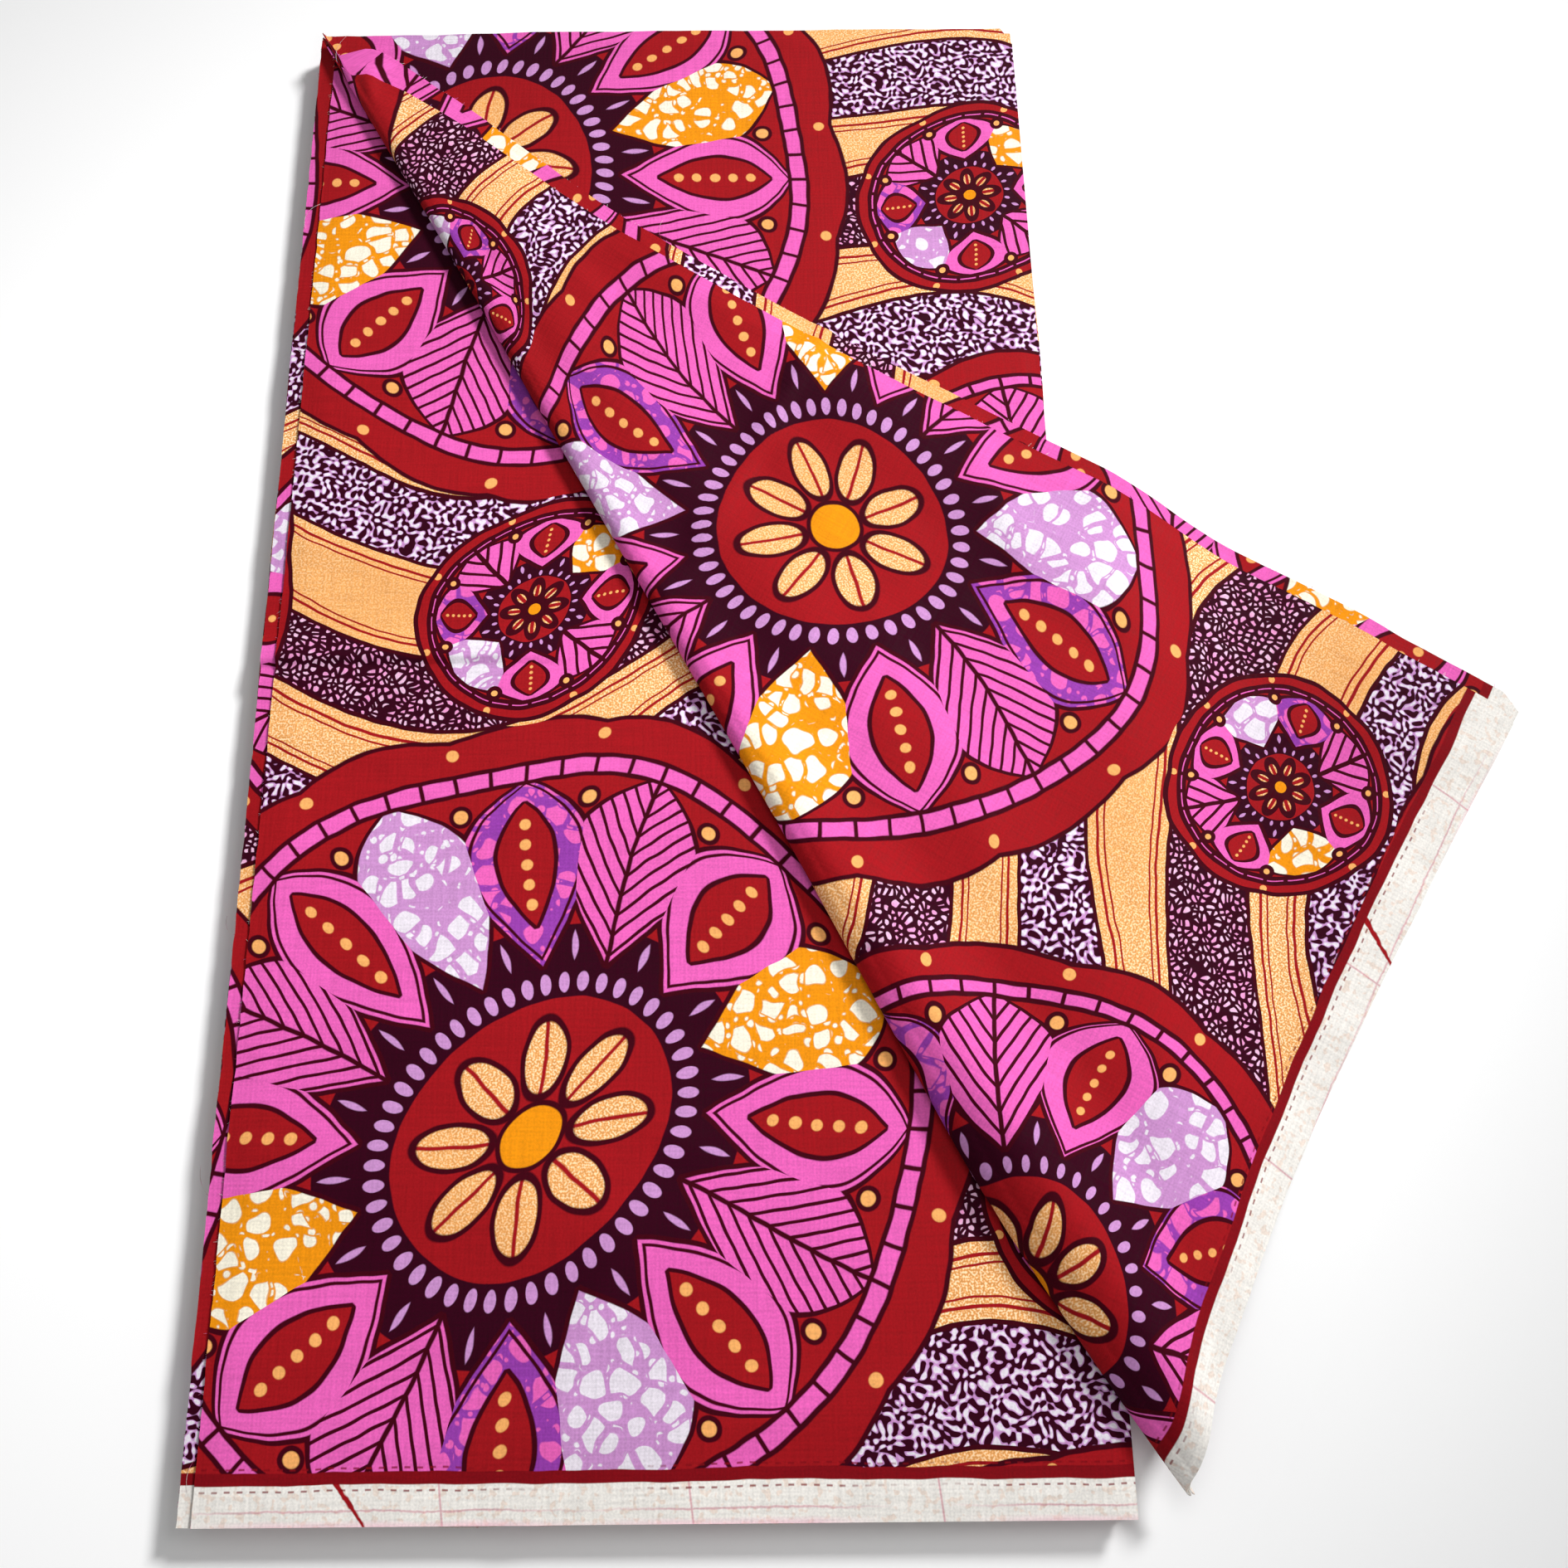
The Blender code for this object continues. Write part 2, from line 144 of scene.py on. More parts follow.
SURFACE_RIDGES = (
    (0.000, 0.070, 0.075, 0.030, 0.017, 0.0010),
    (0.030, 0.000, 0.060, 0.090, 0.014, 0.0008),
    (0.100, 0.000, 0.085, 0.075, 0.016, 0.0009),
    (0.150, 0.000, 0.170, 0.060, 0.013, 0.0006),
    (0.200, 0.000, 0.190, 0.045, 0.015, 0.0008),
    (0.000, 0.160, 0.070, 0.140, 0.018, 0.0007),
    (0.255, 0.000, 0.240, 0.030, 0.012, 0.0006),
)
START_PLEAT = ((0.0013, 0.5498, 0.0197, 0.5344, 0.0045, 0.0017),)
PLEAT_START = 0.002

# The bow of the roll, from the height of its edge up to its crest, and from where on it closes
EDGE_HEIGHT = 0.20
BOW_SHAPE = 0.82
CLOSES_FROM = 0.75

# The small waves of a torn end, each with its length and height, and where they start on each layer
RAGGED = ((0.061, 0.00016), (0.023, 0.00013), (0.0094, 0.00011))
BASE_RAGGED = 40.0
INNER_RAGGED = 0.7
OUTER_RAGGED = 2.0

# The cloth as it shows: thin at its free edges, and as thick as its solid further in
EDGE_WALL = 0.00040
THINS_OVER = 0.009

# Mesh density, and the angles from which an edge is sharp
GRID_STEP = 0.0032
EDGE_LINES = (0.0, 0.0004, 0.0010, 0.0020, 0.0040)
EDGE_CLEARANCE = 1.3 * EDGE_LINES[-1]
CREASE_LINES = (*np.linspace(-CREASE_BELOW, 0.0, 8), *np.linspace(0.001, CREASE_ABOVE, 9))
TURNED_COLUMNS = 180
LEG_ROWS = 34
ROLL_ROWS = 26
FLAP_ROWS = 130
TIP_ROWS = 5
ROW_CROWDING = 1.25
COLUMN_CROWDING = 0.45
FREE_COLUMNS = (0.0, 0.35, 0.7)
END_COLUMNS = 3
CLOTH_SHARP = math.radians(50)
STACK_SHARP = math.radians(60)

# The whole cloth: its width, and where each layer lies along its length
CLOTH_WIDTH = 1.170
TOP_LAYER_AT = 0.050
BASE_LAYER_AT = 0.425
UNDER_LAYER_AT = 0.655

# The camera stood over the strip, 0.51 m above its top
CAMERA_AT = (0.1901, 0.0707)
CAMERA_HEIGHT = 0.5115
CAMERA_TILT = math.radians(18.52)
CAMERA_YAW = math.radians(-0.488)
SENSOR = 36.0
LENS = SENSOR * 1800.0 / 1890.0
CLIP_START = 0.01

FLOOR_HALF = 3.0
FLOOR_AT = -0.0003
FLOOR_TONE = 0.96
FLOOR_ROUGHNESS = 0.9
FLOOR_SHINE = 0.1
WORLD_LIGHT = 0.335
LAMPS = (
    # name, place, what it is turned to, size, power and how far its light spreads
    ("near_light", (0.05, -0.13, 0.36), (0.05, -0.13, 0.0), 0.20, 0.34, math.radians(180)),
    ("side_light", (1.151, 1.138, 1.305), (-0.205, -0.006, 0.012), 0.45, 3.30, math.radians(39)),
)


def strip_origin():
    """Where the strip's own frame starts, in the part's frame."""
    low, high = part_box("base_sheet")
    return high.x - (STRIP_WIDTH - SHEET_END + float(slip(SHEET_END))), low.y - SHEET_END


def smooth_step(t):
    """0 to 1 with level ends."""
    t = np.clip(t, 0.0, 1.0)
    return t * t * (3.0 - 2.0 * t)


def smooth_curves(table, at):
    """A table's columns as smooth curves through its rows, along its first column."""
    knots, *columns = np.array(table).T
    at = np.clip(at, knots[0], knots[-1])
    k = np.clip(np.searchsorted(knots, at) - 1, 0, len(knots) - 2)
    step = knots[k + 1] - knots[k]
    t = (at - knots[k]) / step
    curves = []
    for values in columns:
        slopes = np.gradient(values, knots)
        rise = values[k + 1] - values[k]
        start, end = slopes[k] * step, slopes[k + 1] * step
        bend = 3 * rise - 2 * start - end + t * (start + end - 2 * rise)
        curves.append(values[k] + t * (start + t * bend))
    return curves


def slip(y):
    """How far the strip lies to the side at this length."""
    return TOP_SLIP * np.asarray(y) / STRIP_LENGTH


def to_fold(x, y):
    """Length along the diagonal fold, and the distance from it on the side that is turned back."""
    dx, dy = x - FOLD_START[0], y - FOLD_START[1]
    along = dx * math.cos(FOLD_ANGLE) + dy * math.sin(FOLD_ANGLE)
    across = -dx * math.sin(FOLD_ANGLE) + dy * math.cos(FOLD_ANGLE)
    return along, -across


def from_fold(along, right):
    """The place at this length along the fold and this distance to its right."""
    x = FOLD_START[0] + along * math.cos(FOLD_ANGLE) - right * math.sin(FOLD_ANGLE)
    y = FOLD_START[1] + along * math.sin(FOLD_ANGLE) + right * math.cos(FOLD_ANGLE)
    return x, y


def off_line(x, y, x0, y0, x1, y1):
    """The distance from each point to the straight line between two places."""
    dx, dy = x1 - x0, y1 - y0
    t = np.clip(((x - x0) * dx + (y - y0) * dy) / (dx * dx + dy * dy), 0.0, 1.0)
    return np.hypot(x - x0 - t * dx, y - y0 - t * dy)


def ridges(table, x, y):
    """The height of all the soft ridges of a table."""
    return sum(rise * smooth_step(1.0 - off_line(x, y, *ends) / half) for *ends, half, rise in table)


def ragged(along, phase):
    """The small unevenness of a torn end."""
    return sum(a * np.sin(FULL_CIRCLE * along / w + phase * (k + 1)) for k, (w, a) in enumerate(RAGGED))


def edge_distance(x, y, outline):
    """The distance from each point to the nearest side of a closed outline."""
    sides = zip(outline, outline[1:] + outline[:1], strict=True)
    return np.min([off_line(x, y, *start, *end) for start, end in sides], axis=0)


def wall_here(edge):
    """The cloth's thickness at this distance from its nearest free edge."""
    return EDGE_WALL + (WALL - EDGE_WALL) * smooth_step(edge / THINS_OVER)


def placed(name, data):
    """A new object in the scene with this data."""
    thing = bpy.data.objects.new(name, data)
    bpy.context.scene.collection.objects.link(thing)
    return thing


def cloth_piece(name, points, faces, cloth, sharp=None, shift=0.0):
    """A piece from points in the strip's frame, with the cloth's own coordinates as its UV map."""
    mesh = bpy.data.meshes.new(name)
    mesh.from_pydata((points + (*ORIGIN, 0.0)).tolist(), [], faces)
    layer = mesh.uv_layers.new(name="Cloth")
    corners = np.zeros(len(mesh.loops), dtype=np.int32)
    mesh.loops.foreach_get("vertex_index", corners)
    uv = cloth[corners]
    uv[:, 0] += shift
    layer.data.foreach_set("uv", uv.astype(np.float32).ravel())
    mesh.validate()
    mesh.shade_smooth()
    if sharp:
        mesh.set_sharp_from_angle(angle=sharp)
    return placed(name, mesh)


def cloth_shell(name, lower, upper, u, v):
    """A thin closed shell between two grids of points, which share the cloth's coordinates."""
    rows, columns = lower.shape[:2]
    count = rows * columns
    numbers = np.arange(count).reshape(rows, columns)
    near = numbers[:-1, :-1].ravel()
    under = np.stack([near, near + columns, near + columns + 1, near + 1], axis=-1)
    over = np.stack([near, near + 1, near + columns + 1, near + columns], axis=-1) + count
    rim = np.concatenate([numbers[0], numbers[1:, -1], numbers[-1, -2::-1], numbers[-2:0:-1, 0]])
    after = np.roll(rim, -1)
    edge = np.stack([rim, after, after + count, rim + count], axis=-1)
    faces = np.concatenate([under, over, edge]).tolist()
    points = np.concatenate([lower.reshape(-1, 3), upper.reshape(-1, 3)])
    cloth = np.stack([u.ravel(), v.ravel()], axis=-1)
    return cloth_piece(name, points, faces, np.concatenate([cloth, cloth]), CLOTH_SHARP)


def spaced(start, end, extra=()):
    """Grid lines from start to end: crowded at both ends, even between, with some more where asked."""
    even = np.linspace(start, end, int(round((end - start) / GRID_STEP)) + 1)
    inner = even[(even > start + EDGE_CLEARANCE) & (even < end - EDGE_CLEARANCE)]
    near = start + np.array(EDGE_LINES)
    far = end - np.array(EDGE_LINES)
    return np.unique(np.concatenate([near, inner, np.asarray(extra), far]).round(6))


def base_height(x, y):
    """The pressed crease and the soft ridges of the base, which the turned layers flatten."""
    _, left_of_fold = to_fold(x, y)
    reach = np.where(y < CREASE_AT, CREASE_BELOW, CREASE_ABOVE)
    shape = smooth_step(1.0 - np.abs(y - CREASE_AT) / reach)
    free = smooth_step((left_of_fold - CREASE_FADES_FROM) / CREASE_FADES_OVER)
    return (CREASE_RISE * shape + ridges(BASE_RIDGES, x, y)) * free


def raw_end(lower, upper, first_row=0):
    """The line along a layer's raw end, in its first column, and the way out from it."""
    middle = 0.5 * (lower + upper)[first_row:]
    out = middle[:, 0] - middle[:, END_COLUMNS]
    return middle[:, 0], out / np.linalg.norm(out, axis=-1, keepdims=True)


def base_layer(name, inset, bottom, starts_at):
    """One layer of the base, from its raw end at the left to the fold at the right, and its raw end."""
    right, far = STRIP_WIDTH - SHEET_END, STRIP_LENGTH - SHEET_END
    lengths = spaced(SHEET_END, far, CREASE_AT + np.array(CREASE_LINES))
    share = spaced(0.0, STRIP_WIDTH) / STRIP_WIDTH
    torn = abs(ragged(lengths, BASE_RAGGED * inset[0]))
    left = (np.interp(lengths, (0.0, STRIP_LENGTH), inset) + torn)[:, None]
    flat_x = left * (1.0 - share) + right * share
    x = flat_x + slip(lengths)[:, None]
    y = np.repeat(lengths[:, None], len(share), axis=1)
    edge = np.min([flat_x - left, right - flat_x, y - SHEET_END, far - y], axis=0)
    z = bottom + base_height(x, y)
    lower = np.stack([x, y, z], -1)
    upper = np.stack([x, y, z + wall_here(edge)], -1)
    return cloth_shell(name, lower, upper, starts_at + flat_x, y), raw_end(lower, upper)


def turned_outline(inset):
    """The turned layers laid out flat on the strip, with the near right corner drawn out."""
    right, far = STRIP_WIDTH - SHEET_END, STRIP_LENGTH - SHEET_END
    return [
        (inset, 0.0),
        DRAWN_CORNER,
        (right + float(slip(DRAWN_FROM)), DRAWN_FROM),
        (right + float(slip(far)), far),
        (inset + float(slip(far)), far),
    ]


def row_ends(outline, away):
    """Where the line parallel to the fold at this distance enters and leaves the outline."""
    corners = [to_fold(x, y) for x, y in outline]
    crossings = []
    for (s0, w0), (s1, w1) in zip(corners, corners[1:] + corners[:1], strict=True):
        if (w0 - away) * (w1 - away) <= 0 and w0 != w1:
            crossings.append(s0 + (s1 - s0) * (away - w0) / (w1 - w0))
    return min(crossings), max(crossings)


def row_distances(outline):
    """Distances from the fold for the rows that both turned layers have, and for those at the tip."""
    corners = [to_fold(x, y) for x, y in outline]
    farthest = max(away for _, away in corners)
    nearest = min(away for _, away in corners)
    inward = np.linspace(1.0, 0.0, LEG_ROWS + 1)[:-1] ** ROW_CROWDING
    leg = -QUARTER_TURN + (nearest + BLUNT_CORNER + QUARTER_TURN) * inward
    roll = np.linspace(-QUARTER_TURN, QUARTER_TURN, ROLL_ROWS + 1)
    outward = np.linspace(0.0, 1.0, FLAP_ROWS + 1)[1:] ** ROW_CROWDING
    outer_corner = farthest - (OUTER_SETBACK + BLUNT_CORNER) * math.cos(FOLD_ANGLE + 0.5 * math.pi)
    flap = QUARTER_TURN + (outer_corner - QUARTER_TURN) * outward
    tip = outer_corner + (farthest - BLUNT_CORNER - outer_corner) * np.linspace(0.0, 1.0, TIP_ROWS + 1)[1:]
    return np.concatenate([leg, roll, flap]), tip


def across_row(start, end, count):
    """Points along a row, crowded at its ends."""
    t = np.linspace(0.0, 1.0, count)
    crowded = 0.5 - 0.5 * np.cos(math.pi * t)
    return start + (end - start) * ((1.0 - COLUMN_CROWDING) * t + COLUMN_CROWDING * crowded)


def lattice():
    """The turned layers' flat points in rows along the fold. The outer layer has no free columns."""
    outline = turned_outline(TURNED_INSET)
    shared, tip = row_distances(outline)
    raw_edge_angle = FOLD_ANGLE + 0.5 * math.pi - math.atan2(TOP_SLIP, STRIP_LENGTH)
    setback = OUTER_SETBACK / math.sin(raw_edge_angle)
    far_corner = to_fold(*outline[4])[1] - MIN_SETBACK
    rows = []
    for away in shared:
        start, end = row_ends(outline, away)
        first = max(MIN_SETBACK, setback * min(1.0, 1.0 - away / far_corner))
        outer_start = start + first + float(ragged(away, OUTER_RAGGED))
        rest = across_row(outer_start, end, TURNED_COLUMNS - len(FREE_COLUMNS))
        start += float(ragged(away, INNER_RAGGED))
        rows.append(np.concatenate([start + (outer_start - start) * np.array(FREE_COLUMNS), rest]))
    for away in tip:
        rows.append(across_row(*row_ends(outline, away), TURNED_COLUMNS))
    away = np.concatenate([shared, tip])[:, None].repeat(TURNED_COLUMNS, axis=1)
    return np.array(rows), away, len(shared)


def drop(x, y):
    """How far down the overhang has come: 0 over the strip, 1 on the surface."""
    beyond = x - (STRIP_WIDTH + slip(np.clip(y, 0.0, STRIP_LENGTH)))
    return smooth_step((beyond - DROP_FROM) / DROP_OVER)


def flap_shift(along, flap, flat_x, flat_y):
    """How far the flap's points lie from a plain reflection: along the fold, and away from it."""
    soft_start = smooth_step(flap / FLAP_SOFT_START)
    up_raw_edge = np.clip((flat_y - RAW_HOLLOW_FROM) / (FOLD_START[1] - RAW_HOLLOW_FROM), 0.0, 1.0)
    near_raw_edge = smooth_step(1.0 - (flat_x - slip(flat_y)) / RAW_HOLLOW_FADES_OVER)
    raw_hollow = RAW_HOLLOW * np.sin(math.pi * up_raw_edge) * near_raw_edge * soft_start

    at_start = 1.0 - smooth_step(along / START_SPREAD_OVER)
    edge_width = START_WIDENS * np.maximum(along, 0.0) + START_WIDTH
    spread = START_SPREAD * at_start * np.clip(flap / edge_width, 0.0, 1.0)

    along_selvedge = np.clip(1.0 - flat_x / SELVEDGE_HOLLOW_REACH, 0.0, 1.0) ** SELVEDGE_HOLLOW_SKEW
    near_selvedge = smooth_step(1.0 - flat_y / SELVEDGE_HOLLOW_FADES_OVER)
    selvedge_hollow = SELVEDGE_HOLLOW * np.sin(math.pi * along_selvedge) * near_selvedge * soft_start
    return FLAP_SLIDE * flap - selvedge_hollow, FLAP_REACH * flap - raw_hollow + spread


def bow_height(turn, flap, radius, crest, height):
    """The height of the fold's roll: a tight turn up to its edge, then a round bow up to its crest."""
    from_edge = radius * (1.0 - np.cos(np.maximum(turn, 0.0))) + flap
    t = np.clip(from_edge / (radius + crest), 0.0, 1.0)
    bow = (t * (2.0 - t)) ** BOW_SHAPE
    edge = EDGE_HEIGHT * (1.0 + np.sin(np.minimum(turn, 0.0)))
    return 2.0 * radius * (edge + (height - EDGE_HEIGHT) * bow)


def folded(along, away, out):
    """Where a flat point of the turned cloth lies, out from the fold's core by this much."""
    flat_x, flat_y = from_fold(along, -away)
    radius, edge, closes_over, crest, height = smooth_curves(ROLL, along)
    centre = edge + radius + FULL_WALL
    turn = np.clip(away / QUARTER_TURN, -1.0, 1.0) * 0.5 * math.pi
    leg = np.maximum(-away - QUARTER_TURN, 0.0)
    flap = np.maximum(away - QUARTER_TURN, 0.0)

    slide, reach = flap_shift(along, flap, flat_x, flat_y)
    settled = smooth_step(leg / LEG_SETTLES_OVER)
    leg_place = leg + (QUARTER_TURN - centre) * settled
    x, y = from_fold(along + slide, centre - (radius + out) * np.cos(turn) + leg_place + reach)

    closed = smooth_step((flap - CLOSES_FROM * crest) / (closes_over - CLOSES_FROM * crest))
    roll_height = bow_height(turn, flap, radius, crest, height) * (1.0 - closed) + GAP * closed
    rise = ridges(FLAP_RIDGES, flat_x, flat_y) * smooth_step(flap / RIDGES_START)
    rise += ridges(START_PLEAT, flat_x, flat_y) * smooth_step(flap / PLEAT_START)
    down = drop(x, y)
    lifted = ridges(SURFACE_RIDGES, flat_x, flat_y) * down
    z = (CORE_BOTTOM + roll_height + rise) * (1.0 - down) + lifted + out * np.sin(turn)
    return np.stack([x, y, z], -1)


def turned_layer(name, along, away, inside, inset, second_half=False):
    """One of the two turned layers, with its raw end. Its wall thins at its edges, on the free side."""
    flat_x, flat_y = from_fold(along, -away)
    wall = wall_here(edge_distance(flat_x, flat_y, turned_outline(inset)))
    on_flap = 0.5 + 0.5 * np.sin(np.clip(away / QUARTER_TURN, -1.0, 1.0) * 0.5 * math.pi)
    near_core = inside + (WALL - wall) * (1.0 - on_flap)
    lower = folded(along, away, near_core)
    upper = folded(along, away, near_core + wall)
    u = TOP_LAYER_AT + flat_x - slip(flat_y)
    v = CLOTH_WIDTH - flat_y if second_half else flat_y
    first_row = int(np.argmax(away[:, 0] > 0.0))
    return cloth_shell(name, lower, upper, u, v), raw_end(lower, upper, first_row)


def palette(code):
    """A colour from its six hex digits, as the shader wants it."""
    channels = [int(code[k : k + 2], 16) / 255.0 for k in (0, 2, 4)]
    linear = [c / 12.92 if c <= 0.04045 else ((c + 0.055) / 1.055) ** 2.4 for c in channels]
    return (*linear, 1.0)


PINK = palette("DE5EAF")
CRIMSON = palette("961219")
OUTLINE = palette("3C000F")
AUBERGINE = palette("300014")
PEACH = palette("E9A560")
GRIT = palette("CF8B4B")
PALE_PEACH = palette("F1D6AE")
ORANGE = palette("E38B0E")
CREAM = palette("ECE5D2")
LILAC = palette("BF88BF")
WHITE = palette("DED6E0")
VIOLET = palette("8E3AA0")
SELVEDGE = palette("E7E3DD")
SELVEDGE_LINE = palette("7C0A14")
STAIN = palette("EBA9C0")
STAIN_DARK = palette("C4667F")

# Over which an edge drawn in a rosette turns from one colour to the next, as a share of its radius
SOFT_SHARE = 0.003


def feed(socket, value):
    """Joins a field or a socket to an input, or sets the input to a plain value."""
    if isinstance(value, Field):
        value = value.socket
    if isinstance(value, bpy.types.NodeSocket):
        socket.id_data.links.new(value, socket)
    else:
        socket.default_value = value


def add_node(kin, kind, inputs, **settings):
    """A new node beside a field or a socket, with its settings, and its inputs fed by place or by name."""
    socket = kin.socket if isinstance(kin, Field) else kin
    node = socket.id_data.nodes.new("ShaderNode" + kind)
    for name, value in settings.items():
        setattr(node, name, value)
    for key, value in inputs.items() if isinstance(inputs, dict) else enumerate(inputs):
        feed(node.inputs[key], value)
    return node


class Field:
    """A number that varies over the cloth. Arithmetic on it adds nodes to its tree."""

    def __init__(self, socket):
        self.socket = socket

    def math(self, operation, *others, clamp=False):
        return Field(add_node(self, "Math", (self, *others), operation=operation, use_clamp=clamp).outputs[0])

    def __add__(self, other):
        return self.math("ADD", other)

    def __sub__(self, other):
        return self.math("SUBTRACT", other)

    def __mul__(self, other):
        return self.math("MULTIPLY", other)

    def __truediv__(self, other):
        return self.math("DIVIDE", other)

    def __abs__(self):
        return self.math("ABSOLUTE")

    __radd__ = __add__
    __rmul__ = __mul__

    def __rsub__(self, other):
        return Field(add_node(self, "Math", (other, self), operation="SUBTRACT").outputs[0])

    def __rtruediv__(self, other):
        return Field(add_node(self, "Math", (other, self), operation="DIVIDE").outputs[0])


def vector_math(operation, vector, *others):
    """A vector node's result."""
    return add_node(vector, "VectorMath", (vector, *others), operation=operation).outputs["Vector"]


def vector_number(operation, vector, *others):
    """A vector node's result, where it is a number."""
    return Field(add_node(vector, "VectorMath", (vector, *others), operation=operation).outputs["Value"])


def combine(x, y):
    return add_node(x, "CombineXYZ", (x, y)).outputs[0]


def separate(vector):
    node = add_node(vector, "SeparateXYZ", (vector,))
    return Field(node.outputs[0]), Field(node.outputs[1])


def noise(vector, size, detail=0.0):
    """Smooth noise from 0 to 1, with features of about this size in metres."""
    inputs = {"Vector": vector, "Scale": 1.0 / size, "Detail": detail}
    return add_node(vector, "TexNoise", inputs, noise_dimensions="2D").outputs


def noise_field(vector, size, detail=0.0):
    return Field(noise(vector, size, detail)[0])


def voronoi(vector, size, feature="F1"):
    """Cells of about this size in metres."""
    inputs = {"Vector": vector, "Scale": 1.0 / size}
    return add_node(vector, "TexVoronoi", inputs, voronoi_dimensions="2D", feature=feature).outputs


def below(field, edge, soft=SOFT_SHARE):
    """1 where the field is under an edge and 0 over it, with a soft step between."""
    if isinstance(edge, Field):
        return (edge - field).math("MULTIPLY_ADD", 1.0 / soft, 0.5, clamp=True)
    return field.math("MULTIPLY_ADD", -1.0 / soft, edge / soft + 0.5, clamp=True)


def above(field, edge, soft=SOFT_SHARE):
    """1 where the field is over an edge and 0 under it."""
    return field.math("MULTIPLY_ADD", 1.0 / soft, -edge / soft + 0.5, clamp=True)


def wave(field, period, phase=0.0):
    """A wave along a field, from -1 to 1."""
    return field.math("MULTIPLY_ADD", FULL_CIRCLE / period, phase).math("SINE")


def wrap(field, half):
    """A number brought into the range from minus half to half by whole periods."""
    return field.math("WRAP", half, -half)


def distance(across, along):
    """How far a place is from a point, from its distances each way."""
    return (across * across + along * along).math("SQRT")


def paint(colour, *layers):
    """A colour with others over it: each mask is followed by the colour that shows where it is 1."""
    for mask, over in zip(layers[::2], layers[1::2], strict=True):
        colour = add_node(mask, "Mix", {0: mask, 6: colour, 7: over}, data_type="RGBA").outputs[2]
    return colour


def choose(otherwise, mask, value):
    """A number, or a vector, where a mask is 1, and another elsewhere."""
    is_vector = not isinstance(value, (Field, float))
    first = 4 if is_vector else 2
    kind = "VECTOR" if is_vector else "FLOAT"
    made = add_node(mask, "Mix", {0: mask, first: otherwise, first + 1: value}, data_type=kind).outputs
    return made[1] if is_vector else Field(made[0])


# The print: rosettes in a repeat of this size, on a ground with wavy ribbons
REPEAT = (0.400, 0.390)
ROSETTES = (
    # u, v, radius and number of petals
    (0.130, 0.120, 0.150, 16.0),
    (0.330, 0.310, 0.108, 12.0),
    (0.330, 0.105, 0.047, 8.0),
    (0.130, 0.315, 0.044, 8.0),
)
ROSETTE_MARGIN = 1.05
NO_ROSETTE = ((1.0, 1.0, 0.0), 0.05, 8.0)  # place, radius and petals where none covers the cloth
LINE = 0.0017
CRISP = 0.00020  # over which a drawn edge turns from one colour to the next
HAND_WANDER = ((0.230, 0.0050, 0.6), (0.110, 0.0018, 2.1))
CROSS_PHASE = 1.7
HAND_WOBBLE = (0.008, 0.0007)

# Shares of a rosette's radius
SCALLOP = 0.022
BORDER_FROM = 0.890
RIM_FROM = 0.842
RIM_TICKS_PER_PETAL = 4.0
PETAL_MIDDLE = 0.612
PETAL_HALF_LENGTH = 0.240
PETAL_WIDTH = 2.40
PETAL_SKEW = 0.42
SECOND_LINE = 0.021
LEAF_MIDDLE = 0.635
LEAF_HALF_LENGTH = 0.160
LEAF_WIDTH = 1.15
LEAF_SKEW = 0.2
BEAD_SPACING = 0.050
BEAD_RADIUS = 0.0135
BEADS_TO_EACH_SIDE = 2.5
VEIN_SPACING = 0.0075
VEIN_SLANT = 1.3
DARK_GAPS_UNTIL = 0.475
GAP_DROP = (0.425, 0.036, 0.12)  # middle, half length and width
EDGE_DOT_SIZE = 0.24
GAP_DOT_AT = 0.785
GAP_DOT_SIZE = 0.36
RICE_BAND = (0.300, 0.372)
RICE_PER_PETAL = 3.0
RICE_HALF_SIZE = (0.024, 0.013)
RICE_SOFT = 0.25
HEART_PETALS = 8.0
HEART_MIDDLE = 0.170
HEART_HALF_LENGTH = 0.088
HEART_HALF_WIDTH = 0.050
HEART_SOFT = 0.06
EYE = 0.070

# Shares of a line's width
PETAL_WEIGHT = 1.2
VEIN_WEIGHT = 1.1
TICK_WEIGHT = 0.9
SECOND_LINE_WEIGHT = 0.8
RIB_WEIGHT = 0.8

# Which petals are of a kind: the remainder that their number leaves, and over what
BEADED = (0.0, 2.0)
VEINED = (3.0, 4.0)
BUBBLED = ((1.0, 8.0), (5.0, 8.0), (4.0, 8.0))

RIBBON_PERIOD = 0.065
RIBBON_WAVE = 0.042
RIBBON_HALF_WIDTH = 0.0165
RIBBON_SWELLS = 0.012
ECHO_LINES = ((0.0050, 0.35), (0.0078, 0.22))

# The fillings. Shares of a cell are given for the least one, and how much more the largest one has. A
# mask is given by its edge and how softly it turns.
SHAKEN = 0.0075
BUBBLE = 0.0098
BUBBLE_WARP = 0.0036
BUBBLE_PATCH = 0.034
BUBBLE_GAP = (0.01, 0.24)
BUBBLE_REACH = (0.30, 0.26)
BUBBLE_RIM = 2.6
BUBBLE_SOFT = 0.04
DROP = 0.38 * BUBBLE
DROP_WARP = 0.0018
DROP_REACH = 0.42
DROP_SOFT = 0.12
DROP_CLEARANCE = 0.05
DROP_FADE = 0.03
WORM = 0.0035
WORM_WAVES = (
    # each wave's direction, and how far the noise's three channels push it on
    (0.17, (11.0, 3.0, -4.0)),
    (0.98, (-4.0, 10.0, 3.0)),
    (1.71, (3.0, -5.0, 11.0)),
    (2.55, (-8.0, 7.0, 6.0)),
)
WORM_EDGE = (0.06, 0.35)
WORM_CORE = (1.15, 0.80)
SEED = 0.0027
SEED_WARP = 0.0034
SEED_GAP = 0.235
SEED_REACH = 0.40
SEED_SOFT = 0.07
SEED_PALENESS = (0.30, 0.28)
SEED_CAST = (0.50, 0.20)
GRAIN = 0.0007
